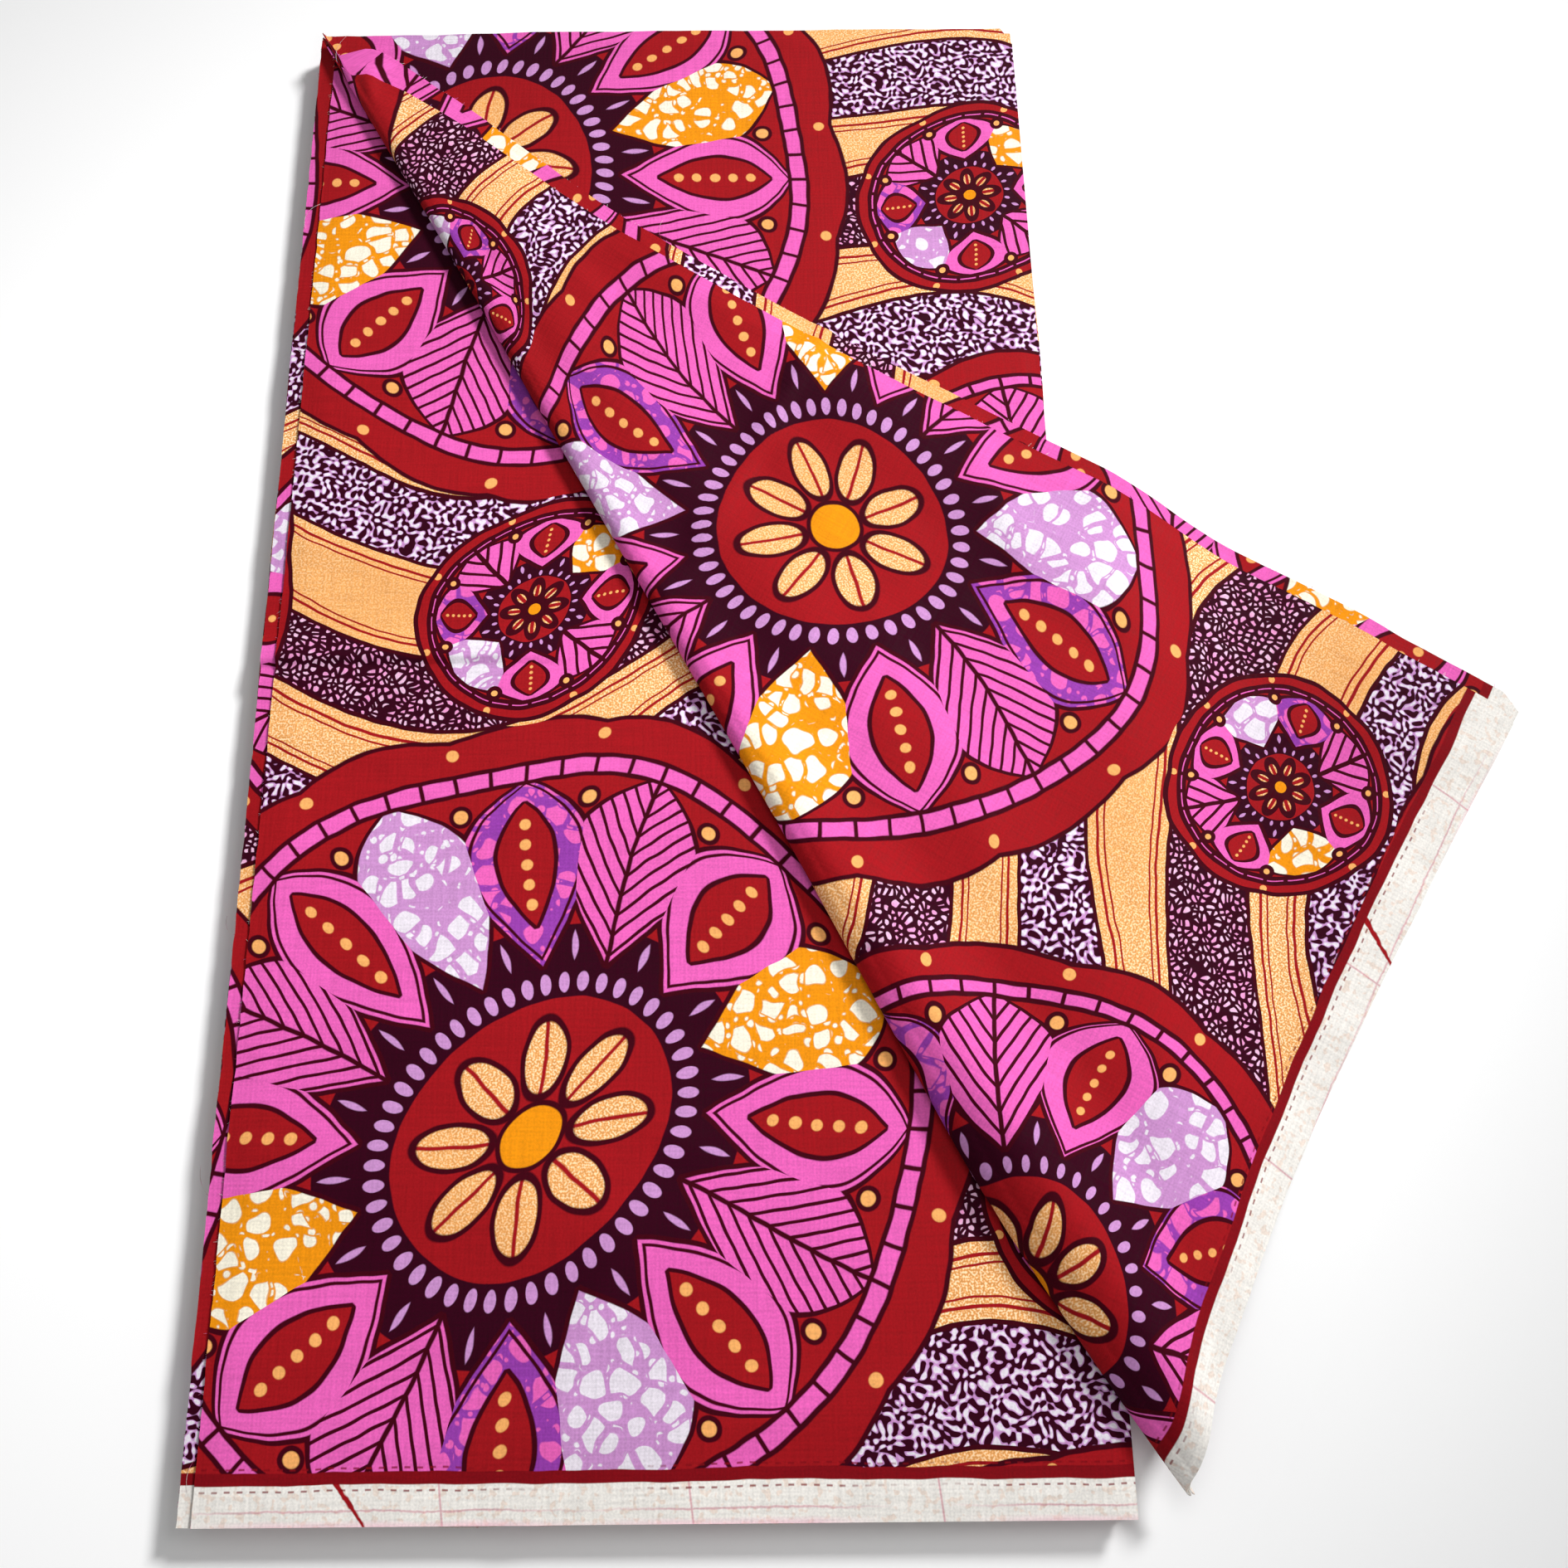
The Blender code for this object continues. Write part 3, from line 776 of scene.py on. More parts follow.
DARK_GRAIN = (0.40, 0.12)
LIGHT_GRAIN = (0.58, 0.16)
DARK_GRAIN_AMOUNT = 0.8
LIGHT_GRAIN_AMOUNT = (0.1, 1.1)
SHADE_PATCH = 0.09


def wandering(place):
    """The place moved about in long slow waves, as a hand-drawn repeat has them."""
    u, v = separate(place)
    moved_u, moved_v = u, v
    for length, height, phase in HAND_WANDER:
        moved_u = moved_u + wave(v, length, phase) * height
        moved_v = moved_v + wave(u, length, CROSS_PHASE * phase) * height
    return combine(moved_u, moved_v)


def push_of(shaken):
    """A push from -0.5 to 0.5 each way, from the noise's colour."""
    return vector_math("SUBTRACT", shaken["Color"], (0.5, 0.5, 0.5))


def pushed(place, push, amount):
    """The place moved by a push."""
    return vector_math("MULTIPLY_ADD", push, (amount, amount, 0.0), place)


def bubbles(place, push):
    """Wax bubbles: rounded blobs of uneven size, with small drops between them. 1 inside a bubble."""
    moved = pushed(place, push, BUBBLE_WARP)
    cells = voronoi(moved, BUBBLE)
    chance, _ = separate(cells["Color"])
    net = Field(voronoi(moved, BUBBLE, "DISTANCE_TO_EDGE")["Distance"])
    gap = noise_field(place, BUBBLE_PATCH) * BUBBLE_GAP[1] + BUBBLE_GAP[0]
    roundness = chance * BUBBLE_REACH[1] + BUBBLE_REACH[0] - Field(cells["Distance"])
    blob = above((net - gap).math("MINIMUM", roundness), 0.0, BUBBLE_SOFT)
    small = voronoi(pushed(place, push, DROP_WARP), DROP)
    size, _ = separate(small["Color"])
    drops = above(size * DROP_REACH - Field(small["Distance"]), 0.0, DROP_SOFT)
    return blob.math("MAXIMUM", drops * below(net, gap - DROP_CLEARANCE, DROP_FADE))


def worms(place, push):
    """Short winding strokes, as a resist print has, from waves that cross. 1 on a stroke, and on its core."""
    total = 0.0
    for angle, pushes in WORM_WAVES:
        way = (FULL_CIRCLE / WORM * math.cos(angle), FULL_CIRCLE / WORM * math.sin(angle), 0.0)
        swing = vector_number("DOT_PRODUCT", place, way) + vector_number("DOT_PRODUCT", push, pushes)
        total = swing.math("SINE") + total
    return above(total, *WORM_EDGE), above(total, *WORM_CORE)


def seeds(place, push):
    """Dense small grains that lie in all directions, with dark gaps. 1 on a grain."""
    moved = pushed(place, push, SEED_WARP)
    net = Field(voronoi(moved, SEED, "DISTANCE_TO_EDGE")["Distance"])
    middle = Field(voronoi(moved, SEED)["Distance"])
    return above((net - SEED_GAP).math("MINIMUM", SEED_REACH - middle), 0.0, SEED_SOFT)


class Rosette:
    """Where a place of the cloth lies in the rosette that covers it."""

    def __init__(self, place):
        local, radius, petals = NO_ROSETTE
        reach = None
        half = (0.5 * REPEAT[0], 0.5 * REPEAT[1], 1.0)
        for u, v, size, count in ROSETTES:
            apart = vector_math("SUBTRACT", place, (u, v, 0.0))
            apart = vector_math("WRAP", apart, half, tuple(-h for h in half))
            length = vector_number("LENGTH", apart)
            inside = length.math("LESS_THAN", ROSETTE_MARGIN * size)
            local = choose(local, inside, apart)
            radius = choose(radius, inside, size)
            petals = choose(petals, inside, count)
            reach = length if reach is None else choose(reach, inside, length)
        x, y = separate(local)
        self.radius = radius
        self.q = reach / radius
        self.half_line = 1.0 / radius * (0.5 * LINE)
        self.one_petal = 1.0 / petals
        self.angle = y.math("ARCTAN2", x)
        self.sector = self.angle * petals / FULL_CIRCLE
        self.index = self.sector.math("ROUND")
        self.off = (self.sector - self.index) * self.one_petal * FULL_CIRCLE
        self.along = self.q * self.off.math("COSINE")
        self.across = abs(self.q * self.off.math("SINE"))

    def is_kind(self, remainder, period):
        """1 on the petals whose number leaves this remainder over this period."""
        return below(abs(self.index.math("FLOORED_MODULO", period) - remainder), 0.5, 0.1)

    def spaced_round(self, per_petal, offset=0.0):
        """The distance along the circle to the nearest of some places spaced evenly round it."""
        return abs(wrap(self.sector + offset, 0.5 / per_petal)) * self.one_petal * self.q * FULL_CIRCLE


def leaf(spot, middle, half_length, width, skew):
    """A pointed petal's depth inside its edge, and the share of its length, from -1 to 1."""
    t = (spot.along - middle) / half_length
    bow = (1.0 - t * t).math("MAXIMUM", 0.0)
    half_width = bow * (t * skew + 1.0) * spot.one_petal * width
    return half_width - spot.across, t


def outlined(colour, inside, line, fill, soft=SOFT_SHARE):
    """A shape filled and outlined over a colour. inside is the depth inside the shape's edge."""
    return paint(colour, above(inside, 0.0, soft), fill, below(abs(inside), line, soft), OUTLINE)


def petal_ring(spot, fillings):
    """Long pointed petals with crimson between: some pink with a beaded leaf, some veined, some bubbled."""
    inside, _ = leaf(spot, PETAL_MIDDLE, PETAL_HALF_LENGTH, PETAL_WIDTH, PETAL_SKEW)
    beaded = spot.is_kind(*BEADED)
    veined = spot.is_kind(*VEINED)
    fill = PINK
    for kind, filling in zip(BUBBLED, fillings, strict=True):
        fill = paint(fill, spot.is_kind(*kind), filling)
    vein_step = 1.0 / spot.radius * VEIN_SPACING
    slanted = (spot.along - spot.across * VEIN_SLANT) / vein_step
    veins = below(abs(wrap(slanted, 0.5)) * vein_step, spot.half_line * VEIN_WEIGHT)
    veins = veins.math("MAXIMUM", below(spot.across, spot.half_line))
    second = below(abs(inside - SECOND_LINE), spot.half_line * SECOND_LINE_WEIGHT)
    fill = paint(fill, (veins * veined).math("MAXIMUM", second * beaded), OUTLINE)

    depth, t = leaf(spot, LEAF_MIDDLE, LEAF_HALF_LENGTH, LEAF_WIDTH, LEAF_SKEW)
    on_leaf = beaded * below(abs(t), 1.0, 0.02)
    leaf_line = below(abs(depth), spot.half_line) * on_leaf
    fill = paint(fill, above(depth, 0.0) * on_leaf, CRIMSON, leaf_line, OUTLINE)
    from_middle = spot.along - LEAF_MIDDLE
    bead = distance(wrap(from_middle, 0.5 * BEAD_SPACING), spot.across)
    on_row = beaded * below(abs(from_middle), BEADS_TO_EACH_SIDE * BEAD_SPACING)
    fill = paint(fill, below(bead, BEAD_RADIUS) * on_row, PEACH)

    between = paint(CRIMSON, below(spot.q, DARK_GAPS_UNTIL), AUBERGINE)
    gap_angle = spot.one_petal * math.pi - abs(spot.off)
    gap_along = spot.q * gap_angle.math("COSINE")
    gap_across = spot.q * gap_angle.math("SINE")
    drop_at, drop_half_length, drop_width = GAP_DROP
    drop_t = (gap_along - drop_at) / drop_half_length
    drop_depth = (1.0 - drop_t * drop_t) * spot.one_petal * drop_width - gap_across
    between = paint(between, above(drop_depth, 0.0), LILAC)
    colour = outlined(between, inside, spot.half_line * PETAL_WEIGHT, fill)
    gap_dot = distance(gap_along - GAP_DOT_AT, gap_across)
    return outlined(colour, spot.one_petal * GAP_DOT_SIZE - gap_dot, spot.half_line, PEACH)


def rosette_colour(spot, fillings, peach):
    """One rosette: petals, a rim and a border round them, a band of rice grains and a flower inside."""
    colour = petal_ring(spot, fillings)
    ticks = below(spot.spaced_round(RIM_TICKS_PER_PETAL), spot.half_line * TICK_WEIGHT)
    colour = outlined(colour, spot.q - RIM_FROM, spot.half_line, paint(PINK, ticks, OUTLINE))
    edge_dots = distance(spot.spaced_round(1.0, 0.5), spot.q - 0.5 * (BORDER_FROM + 1.0))
    border = paint(CRIMSON, below(edge_dots, spot.one_petal * EDGE_DOT_SIZE), PEACH)
    colour = outlined(colour, spot.q - BORDER_FROM, spot.half_line, border)

    low, high = RICE_BAND
    middle = 0.5 * (low + high)
    colour = paint(colour, below(spot.q, high), AUBERGINE)
    grain = wrap(spot.sector, 0.5 / RICE_PER_PETAL) * spot.one_petal * (FULL_CIRCLE * middle)
    long_way = (spot.q - middle) / RICE_HALF_SIZE[0]
    short_way = grain / RICE_HALF_SIZE[1]
    rice = long_way * long_way + short_way * short_way
    colour = paint(colour, below(rice, 1.0, RICE_SOFT), LILAC, below(spot.q, low), CRIMSON)

    turn = wrap(spot.angle, math.pi / HEART_PETALS)
    side = spot.q * turn.math("SINE")
    heart_x = (spot.q * turn.math("COSINE") - HEART_MIDDLE) / HEART_HALF_LENGTH
    heart = distance(heart_x, side / HEART_HALF_WIDTH)
    rib = below(abs(side), spot.half_line * RIB_WEIGHT)
    edge_line = spot.half_line / HEART_HALF_WIDTH
    colour = outlined(colour, 1.0 - heart, edge_line, paint(peach, rib, CRIMSON), HEART_SOFT)
    return outlined(colour, EYE - spot.q, spot.half_line, ORANGE)


def print_colour(place):
    """The whole printed pattern at a place on the cloth, as a colour, with its fine grain and its shade."""
    wobble_size, wobble = HAND_WOBBLE
    swayed = wandering(place)
    drawn = pushed(swayed, push_of(noise(swayed, wobble_size)), wobble)
    shaken = noise(place, SHAKEN)
    push = push_of(shaken)
    wax = bubbles(place, push)
    rim = wax * (1.0 - wax) * BUBBLE_RIM
    orange = paint(ORANGE, wax, CREAM, rim, GRIT)
    lilac = paint(LILAC, wax, WHITE, rim, LILAC)
    violet = paint(VIOLET, wax, PINK)
    stroke, core = worms(place, push)
    worm_cloth = paint(AUBERGINE, stroke, LILAC, core, WHITE)
    cast = above(Field(shaken[0]), *SEED_CAST)
    seed = paint(PINK, cast * SEED_PALENESS[1] + SEED_PALENESS[0], WHITE)
    seed_cloth = paint(AUBERGINE, seeds(place, push), seed)

    grain = noise_field(place, GRAIN)
    shade = noise_field(place, SHADE_PATCH)
    dark = below(grain, *DARK_GRAIN) * (shade * DARK_GRAIN_AMOUNT)
    light = above(grain, *LIGHT_GRAIN) * (shade * LIGHT_GRAIN_AMOUNT[1] + LIGHT_GRAIN_AMOUNT[0])
    peach = paint(PEACH, dark, GRIT, light, PALE_PEACH)

    u, v = separate(drawn)
    ribbon = wave(u, REPEAT[0]) * RIBBON_WAVE + v
    half = (shade - 0.5) * RIBBON_SWELLS + RIBBON_HALF_WIDTH
    ground = peach
    for offset, cloth in ((0.0, worm_cloth), (RIBBON_PERIOD, seed_cloth)):
        inside = half - abs(wrap(ribbon + offset, RIBBON_PERIOD))
        ground = outlined(ground, inside, 0.5 * LINE, cloth, CRISP)
        for away, weight in ECHO_LINES:
            ground = paint(ground, below(abs(inside + away), weight * LINE, CRISP), CRIMSON)

    spot = Rosette(drawn)
    scallop = abs((spot.sector * math.pi).math("COSINE")) * SCALLOP + (1.0 - SCALLOP)
    rosette = rosette_colour(spot, (orange, lilac, violet), peach)
    return outlined(ground, scallop - spot.q, spot.half_line, rosette), grain, shade


# The two selvedges: each white band's width, the printed line inside it, and the marks on the band, each
# with its period or place and its half width
SELVEDGE_BAND = (0.0125, 0.0175)
SELVEDGE_LINE_WIDTH = 0.0037
SELVEDGE_SOFT = 0.0003
ROUGH_EDGE = (0.030, 0.0022)
CRACKLE = 0.0026
STITCH_DASH = (0.0040, 0.0017, 0.00030)
DASH_SHAPE = (0.1, 0.4)
DASH_OVER_LINE = 0.6
TICK = (0.0780, 0.00030)
TICK_LEAN = 0.12
TICK_OFFSET = 3.0
STREAK = (0.3100, 0.175, 0.00050)
STREAK_LEAN = 0.75
STREAK_WIDENS = 0.05
STREAK_SOFT = 0.0005
STREAK_SHAKE = 0.0012
FAINT_LINE = (0.0052, 0.00028)
FAINT_SHAKE = 0.0007
FAINT_SOFT = 0.0004
EDGE_STAIN = 0.0012
GRIT_SPOTS = (0.62, 0.10)

# How strongly each mark of the selvedge shows
GRIT_AMOUNT = 0.22
TICK_AMOUNT = 0.6
FAINT_AMOUNT = 0.55
STAIN_AMOUNT = 0.6
DASH_AMOUNT = 0.8


def selvedge(colour, u, inward, band, crackle, patches):
    """One selvedge over the print: its line, its white band with faint ticks and streaks, and dashes."""
    colour = paint(colour, below(inward, band + SELVEDGE_LINE_WIDTH, SELVEDGE_SOFT), SELVEDGE_LINE)
    period, half = TICK
    leaning = u + inward * TICK_LEAN + TICK_OFFSET * band
    tick = below(abs(wrap(leaning, 0.5 * period)), half, FAINT_SOFT)
    away, thin = FAINT_LINE
    faint = below(abs(inward - away + crackle * FAINT_SHAKE), thin, FAINT_SOFT) * patches
    white = paint(SELVEDGE, above(crackle, *GRIT_SPOTS) * GRIT_AMOUNT, GRIT)
    white = paint(white, (tick * TICK_AMOUNT).math("MAXIMUM", faint * FAINT_AMOUNT), STAIN_DARK)
    white = paint(white, below(inward, EDGE_STAIN, 2.0 * EDGE_STAIN) * patches * STAIN_AMOUNT, STAIN)
    period, first, half = STREAK
    slanted = u + inward * STREAK_LEAN + crackle * STREAK_SHAKE - first
    streak = below(abs(wrap(slanted, 0.5 * period)), inward * STREAK_WIDENS + half, STREAK_SOFT)
    white = paint(white, streak, CRIMSON)
    colour = paint(colour, below(inward, band, SELVEDGE_SOFT), white)
    period, away, half = STITCH_DASH
    dashed = above(wave(u, period), *DASH_SHAPE) * patches
    for place in (band - away, band + SELVEDGE_LINE_WIDTH + DASH_OVER_LINE * away):
        on_line = below(abs(inward - place), half, SELVEDGE_SOFT)
        colour = paint(colour, on_line * dashed * DASH_AMOUNT, SELVEDGE_LINE)
    return colour


def cloth_material(name):
    """A new material, with its shader and the cloth's own coordinates."""
    material = bpy.data.materials.new(name)
    material.use_nodes = True
    flat = material.node_tree.nodes.new("ShaderNodeUVMap")
    flat.uv_map = "Cloth"
    return material, material.node_tree.nodes["Principled BSDF"].inputs, flat.outputs[0]


def finish_cloth(inputs, colour, amount, roughness, shine, bump, height):
    """Joins up a cloth's shader: its colour made lighter or darker, its roughness, shine and bump."""
    grey = add_node(amount, "CombineColor", (amount, amount, amount)).outputs[0]
    tint = add_node(amount, "Mix", {0: 1.0, 6: colour, 7: grey}, data_type="RGBA", blend_type="MULTIPLY")
    feed(inputs["Base Color"], tint.outputs[2])
    feed(inputs["Roughness"], roughness)
    inputs["Specular IOR Level"].default_value = shine
    relief = {"Strength": bump[0], "Distance": bump[1], "Height": height}
    feed(inputs["Normal"], add_node(height, "Bump", relief).outputs[0])


# The weave: how far apart its threads are, and the size, stretch and strength of the thicker places in
# them. A bump is its strength and depth, a roughness its base and how far it varies, and the patches and
# the dyes are masks, each with its edge and how softly it turns. A shade is how far each thing makes the
# cloth lighter or darker.
THREAD = 0.00042
SLUB = (0.0009, 0.06, 0.75)
PRINT_SHINE = 0.05
PRINT_SHEEN = 0.01
PRINT_BUMP = (0.35, 0.0002)
PRINT_ROUGHNESS = (0.70, 0.25)
PATCHES = (0.47, 0.14)
WEAVE_RELIEF = 0.25
SLUB_SHADE = 0.22
WEAVE_SHADE = 0.03
GRAIN_SHADE = 0.22
PATCH_SHADE = 0.14
TWIST = 0.0004
TWIST_SHADE = 0.3
DYE_PATCH = 0.006
DYE_STAIN = (0.50, 0.12)
DYE_PINK = (0.40, 0.10)
DYE_CRIMSON = (0.33, 0.06)
THREAD_SHINE = 0.10
THREAD_BUMP = (0.3, 0.0001)
THREAD_ROUGHNESS = (0.7, 0.2)


def print_material(name):
    """Printed cotton: the pattern, the selvedges, the weave and a slight waxy sheen."""
    material, inputs, place = cloth_material(name)
    colour, grain, uneven = print_colour(place)
    u, v = separate(place)

    size, height = ROUGH_EDGE
    rough_edge = (noise_field(place, size, 2.0) - 0.5) * height
    crackle = noise_field(place, CRACKLE, 1.0)
    patches = above(uneven, *PATCHES)
    first_band, second_band = SELVEDGE_BAND
    first_side = v.math("LESS_THAN", 0.5 * CLOTH_WIDTH)
    band = first_side * (first_band - second_band) + second_band
    inward = v.math("MINIMUM", CLOTH_WIDTH - v) + rough_edge
    colour = selvedge(colour, u, inward, band, crackle, patches)

    weave = wave(v, THREAD) * wave(u, THREAD)
    size, stretch, strength = SLUB
    slubs = noise_field(combine(u * stretch, v), size) + noise_field(combine(u, v * stretch), size) - 1.0
    slubs = slubs * strength
    amount = slubs * SLUB_SHADE + weave * WEAVE_SHADE
    amount = amount + (grain - 0.5) * GRAIN_SHADE + (uneven - 0.5) * PATCH_SHADE + 1.0
    roughness = slubs * PRINT_ROUGHNESS[1] + PRINT_ROUGHNESS[0]
    finish_cloth(inputs, colour, amount, roughness, PRINT_SHINE, PRINT_BUMP, weave * WEAVE_RELIEF + slubs)
    inputs["Sheen Weight"].default_value = PRINT_SHEEN
    return material


def thread_material(name):
    """Loose cotton threads: pale, with the print's dyes in patches."""
    material, inputs, place = cloth_material(name)
    dye = noise_field(place, DYE_PATCH)
    colour = paint(STAIN, above(dye, *DYE_STAIN), SELVEDGE)
    colour = paint(colour, below(dye, *DYE_PINK), PINK, below(dye, *DYE_CRIMSON), CRIMSON)
    twist = noise_field(place, TWIST)
    amount = (twist - 0.5) * TWIST_SHADE + 1.0
    roughness = twist * THREAD_ROUGHNESS[1] + THREAD_ROUGHNESS[0]
    finish_cloth(inputs, colour, amount, roughness, THREAD_SHINE, THREAD_BUMP, twist)
    return material


def dress(thing, material, node=None):
    """Gives a piece its body and its material and, where it stands for a node, hides that node's part."""
    thing.data.materials.append(material)
    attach(thing, "root")
    if node:
        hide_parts(node)


# The stack's edges: double layers, each with its height and how far its edge lies in from the outline
DOUBLE_LAYERS = 16
STACK_SEED = 11
RING_STEP = 0.006
NOSE_HEIGHTS = (0.0, 0.10, 0.40, 0.50, 0.60, 0.90)
THIN_EDGES = (0.0017, 0.0002, 0.0001, 0.0012, 0.0000, 0.0003)
ROUND_FOLDS = (0.0016, 0.0005, 0.0001, 0.0000, 0.0001, 0.0005)
PAIR_GROOVES = (0.0005, 0.0023)
SIDE_SPREAD = (0.0017, 0.0022, 0.0020, 0.0018)
LEAST_SPREAD = 0.05
SPREAD_POWER = 1.5
SIDE_WAVE = 0.0006
SIDE_WAVE_PERIODS = (1.0, 4.5)
CORNER_ROUND = 0.0013
CORNER_REACH = 0.006
CAP_INSET = 0.0009
LAYER_PRINT_STEP = 0.137
INWARD = ((0.0, 1.0), (-1.0, 0.0), (0.0, -1.0), (1.0, 0.0))


def stack_ring(insets, waves):
    """One closed line round the stack, from each side's inset and the wave along it."""
    near, right, far, left = insets
    x0, x1 = left, STRIP_WIDTH - right
    y0, y1 = near, STRIP_LENGTH - far
    corners = np.array([(x0, y0), (x1, y0), (x1, y1), (x0, y1)])
    sides = []
    for side in range(4):
        start, end = corners[side], corners[(side + 1) % 4]
        count = int(round((STRIP_WIDTH, STRIP_LENGTH)[side % 2] / RING_STEP))
        t = np.linspace(0.0, 1.0, count + 1)[:-1]
        corner = np.minimum(t, 1.0 - t) * math.hypot(*(end - start)) / CORNER_REACH
        push = waves[side](t) + CORNER_ROUND * (1.0 - smooth_step(corner))
        sides.append(start + (end - start) * t[:, None] + np.array(INWARD[side]) * push[:, None])
    return np.concatenate(sides)


def slow_wave(chance):
    """A gentle uneven wave along one side of one layer, nothing at its ends."""
    periods = chance.uniform(*SIDE_WAVE_PERIODS, 3)
    phases = chance.uniform(0.0, FULL_CIRCLE, 3)

    def push(t):
        swing = sum(np.sin(p * FULL_CIRCLE * t + f) for p, f in zip(periods, phases, strict=True))
        return SIDE_WAVE * swing * np.sin(math.pi * t)

    return push


def nose_insets(layer, step):
    """How far in each side's edge is at one height of a layer: near, right, far and left."""
    near, far = THIN_EDGES[step], ROUND_FOLDS[step]
    right = left = far
    if step == 0:
        right = PAIR_GROOVES[layer % 2 == 0]
        left = PAIR_GROOVES[layer % 2 == 1]
    return np.array([near, right, far, left])


def stack_piece():
    """The hidden layers as one closed body: thin selvedges at the near side, rounded folds at the others."""
    chance = np.random.default_rng(STACK_SEED)
    waves = [slow_wave(chance) for _ in range(4)]
    lines, heights, layers = [stack_ring(np.full(4, CAP_INSET), waves)], [0.0], []
    for layer in range(DOUBLE_LAYERS):
        own = chance.uniform(LEAST_SPREAD, 1.0, 4) ** SPREAD_POWER * np.array(SIDE_SPREAD)
        waves = [slow_wave(chance) for _ in range(4)]
        for step, height in enumerate(NOSE_HEIGHTS):
            if layer or step:
                lines.append(stack_ring(own + nose_insets(layer, step), waves))
                heights.append((layer + height) * STACK_HEIGHT / DOUBLE_LAYERS)
                layers.append(layer)
    lines.append(stack_ring(np.full(4, CAP_INSET), waves))
    heights.append(STACK_HEIGHT)
    layers.append(DOUBLE_LAYERS - 1)

    count = len(lines[0])
    flat = np.concatenate(lines)
    points = np.column_stack([flat[:, 0] + slip(flat[:, 1]), flat[:, 1], np.repeat(heights, count)])
    here = np.arange(count)
    after = (here + 1) % count
    faces, numbers = [here[::-1].tolist()], [0]
    for k, layer in enumerate(layers):
        low, high = k * count, (k + 1) * count
        faces += np.stack([low + here, low + after, high + after, high + here], axis=-1).tolist()
        numbers += [layer] * count
    faces.append((here + (len(lines) - 1) * count).tolist())
    numbers.append(DOUBLE_LAYERS - 1)
    shift = np.repeat(np.array(numbers) * LAYER_PRINT_STEP, [len(face) for face in faces])
    return cloth_piece("stack_layers", points, faces, flat, STACK_SHARP, shift)


# Threads that stand out from the raw ends, and a few longer loose ones
FRAY_SPACING = 0.0013
FRAY_LENGTH = (0.0005, 0.0030)
SHORTER_POWER = 2.2
FRAY_RADIUS = 0.00008
FRAY_TIP = 0.45
FRAY_SIDES = (0.5, 2.6, 4.7)
FRAY_SPREAD = math.radians(34)
FRAY_CURL = 0.5
FRAY_ROOT = 0.0008
FRAY_PARTS = 4
FRAY_SETTLES = 0.25
LOOSE_COUNT = 4
LOOSE_LENGTH = (0.006, 0.020)
LOOSE_CURL = (1.2, 2.2)
LOOSE_PARTS = 9


def turned(way, angle):
    """A direction turned about the upright."""
    cos, sin = math.cos(angle), math.sin(angle)
    return np.array([way[0] * cos - way[1] * sin, way[0] * sin + way[1] * cos, way[2]])


def thread_line(chance, root, out, is_loose, lie_on):
    """The points of one thread, from inside the cloth's end out over what it lies on."""
    way = turned(out, chance.normal(0.0, FRAY_SPREAD))
    shortest, longest = FRAY_LENGTH
    length = shortest + (longest - shortest) * chance.random() ** SHORTER_POWER
    curl = chance.normal(0.0, FRAY_CURL)
    parts = FRAY_PARTS
    if is_loose:
        length = chance.uniform(*LOOSE_LENGTH)
        curl = chance.choice((-1.0, 1.0)) * chance.uniform(*LOOSE_CURL)
        parts = LOOSE_PARTS
    points = [root - FRAY_ROOT * out]
    for _ in range(parts - 1):
        way = turned(way, curl / parts)
        x, y, z = points[-1] + way * (length + FRAY_ROOT) / parts
        rest = lie_on(x, y)
        points.append((x, y, max(rest, z - FRAY_SETTLES * (z - rest))))
    return np.array(points)


def strand(points):
    """A thin three-sided thread along some points, narrower at its end."""
    way = np.gradient(points, axis=0)
    way /= np.linalg.norm(way, axis=-1, keepdims=True)
    side = np.cross(way, (0.0, 0.0, 1.0))
    side /= np.linalg.norm(side, axis=-1, keepdims=True) + 1e-9
    up = np.cross(side, way)
    taper = FRAY_RADIUS * np.linspace(1.0, FRAY_TIP, len(points))[:, None]
    rings = [points + taper * (math.cos(a) * side + math.sin(a) * up) for a in FRAY_SIDES]
    made = np.stack(rings, axis=1).reshape(-1, 3)
    faces = [(2, 1, 0)]
    for k in range(len(points) - 1):
        for a in range(3):
            b = (a + 1) % 3
            faces.append((3 * k + a, 3 * k + b, 3 * k + 3 + b, 3 * k + 3 + a))
    end = 3 * (len(points) - 1)
    faces.append((end, end + 1, end + 2))
    return made, faces


def frayed_end(name, edge, seed, lie_on):
    """The short threads along a raw end, with a few longer loose ones, as one piece."""
    line, outward = edge
    chance = np.random.default_rng(seed)
    run = np.concatenate([[0.0], np.cumsum(np.linalg.norm(np.diff(line, axis=0), axis=-1))])
    count = int(run[-1] / FRAY_SPACING)
    loose = set(chance.choice(count, LOOSE_COUNT, replace=False).tolist())
    points, faces, total = [], [], 0
    for k in range(count):
        at = chance.uniform(0.0, run[-1])
        root, out = (np.array([np.interp(at, run, row) for row in table.T]) for table in (line, outward))
        made, sides = strand(thread_line(chance, root, out, k in loose, lie_on))
        points.append(made)
        faces += [[i + total for i in side] for side in sides]
        total += len(made)
    points = np.concatenate(points)
    return cloth_piece(name, points, faces, points[:, :2] + ORIGIN)


def on_surface(height):
    """A rest for loose threads at one height over the strip, and on the surface beyond it."""

    def rest(x, y):
        inside = 0.0 <= x - float(slip(y)) <= STRIP_WIDTH
        return height + FRAY_RADIUS if inside else FRAY_RADIUS

    return rest


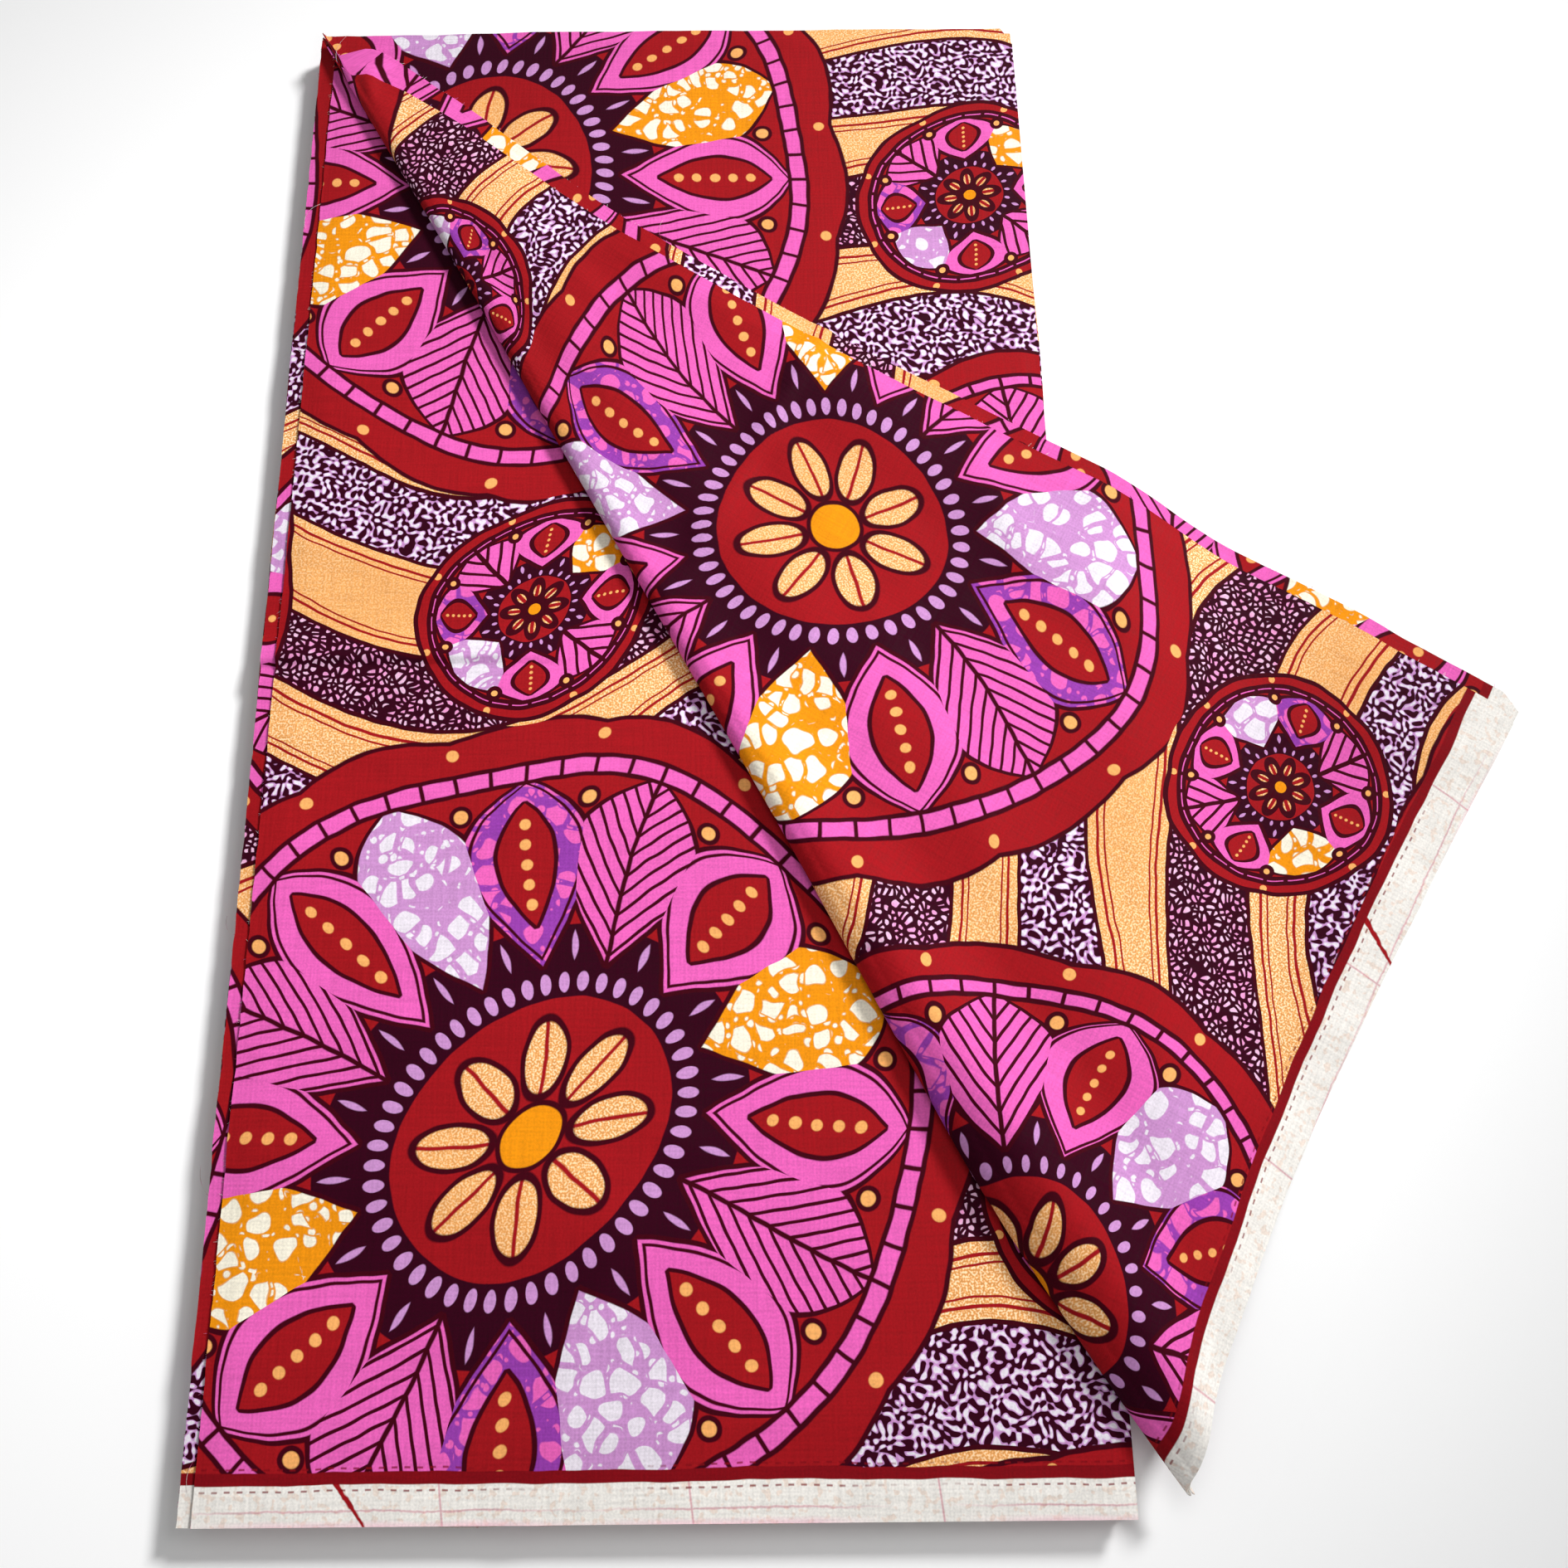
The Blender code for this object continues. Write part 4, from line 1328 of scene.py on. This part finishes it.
def make_camera():
    """The camera over the strip, at the photo's angle."""
    data = bpy.data.cameras.new("camera")
    data.sensor_width = SENSOR
    data.lens = LENS
    data.clip_start = CLIP_START
    camera = placed("camera", data)
    camera.location = (CAMERA_AT[0] + ORIGIN[0], CAMERA_AT[1] + ORIGIN[1], BASE_TOP + CAMERA_HEIGHT)
    camera.rotation_euler = (CAMERA_TILT, 0.0, CAMERA_YAW)
    bpy.context.scene.camera = camera


def area_light(name, place, target, size, power, spread):
    """A round soft lamp at a place, turned to a target."""
    data = bpy.data.lights.new(name, "AREA")
    data.shape = "DISK"
    data.size = size
    data.energy = power
    data.spread = spread
    lamp = placed(name, data)
    lamp.location = place
    lamp.rotation_euler = Vector(np.subtract(target, place)).to_track_quat("-Z", "Y").to_euler()


def make_stage():
    """A plain pale floor, a pale world and soft lamps."""
    mesh = bpy.data.meshes.new("floor")
    corners = [(FLOOR_HALF * x, FLOOR_HALF * y, FLOOR_AT) for x, y in ((-1, -1), (1, -1), (1, 1), (-1, 1))]
    mesh.from_pydata(corners, [], [(0, 1, 2, 3)])
    paper = bpy.data.materials.new("pale_floor")
    paper.use_nodes = True
    inputs = paper.node_tree.nodes["Principled BSDF"].inputs
    inputs["Base Color"].default_value = (FLOOR_TONE, FLOOR_TONE, FLOOR_TONE, 1.0)
    inputs["Roughness"].default_value = FLOOR_ROUGHNESS
    inputs["Specular IOR Level"].default_value = FLOOR_SHINE
    mesh.materials.append(paper)
    placed("floor", mesh)

    world = bpy.data.worlds.new("world")
    world.use_nodes = True
    background = world.node_tree.nodes["Background"]
    background.inputs["Color"].default_value = (1.0, 1.0, 1.0, 1.0)
    background.inputs["Strength"].default_value = WORLD_LIGHT
    bpy.context.scene.world = world
    for lamp in LAMPS:
        area_light(*lamp)
    bpy.context.scene.view_settings.view_transform = "Standard"


ORIGIN = strip_origin()
make_camera()
make_stage()

printed = print_material("printed_cotton")
threads = thread_material("cotton_threads")
rows, away, shared = lattice()
own = (slice(shared), slice(len(FREE_COLUMNS), None))

stack = stack_piece()
under, under_end = base_layer("under_cloth", UNDER_INSET, UNDER_BOTTOM, UNDER_LAYER_AT)
base, base_end = base_layer("base_cloth", BASE_INSET, BASE_BOTTOM, BASE_LAYER_AT)
inner, inner_end = turned_layer("inner_cloth", rows, away, 0.0, TURNED_INSET)
outer, outer_end = turned_layer(
    "flap_cloth", rows[own], away[own], WALL + GAP, TURNED_INSET + OUTER_SETBACK, second_half=True
)
dress(stack, printed, "stack")
dress(under, printed, "under_sheet")
dress(base, printed, "base_sheet")
dress(inner, printed, "turned_inner")
dress(outer, printed, "turned_outer")

for piece, below_it, end, name, seed, height, slot in (
    (under, stack, under_end, "under_threads", 21, UNDER_BOTTOM, "under_cloth"),
    (base, under, base_end, "base_threads", 22, BASE_BOTTOM + EDGE_WALL - WALL, "base_cloth"),
    (inner, base, inner_end, "inner_threads", 23, CORE_BOTTOM - GAP, "inner_cloth"),
    (outer, inner, outer_end, "flap_threads", 24, CORE_BOTTOM + WALL, "flap_cloth"),
):
    ends = frayed_end(name, end, seed, on_surface(height))
    dress(ends, threads)
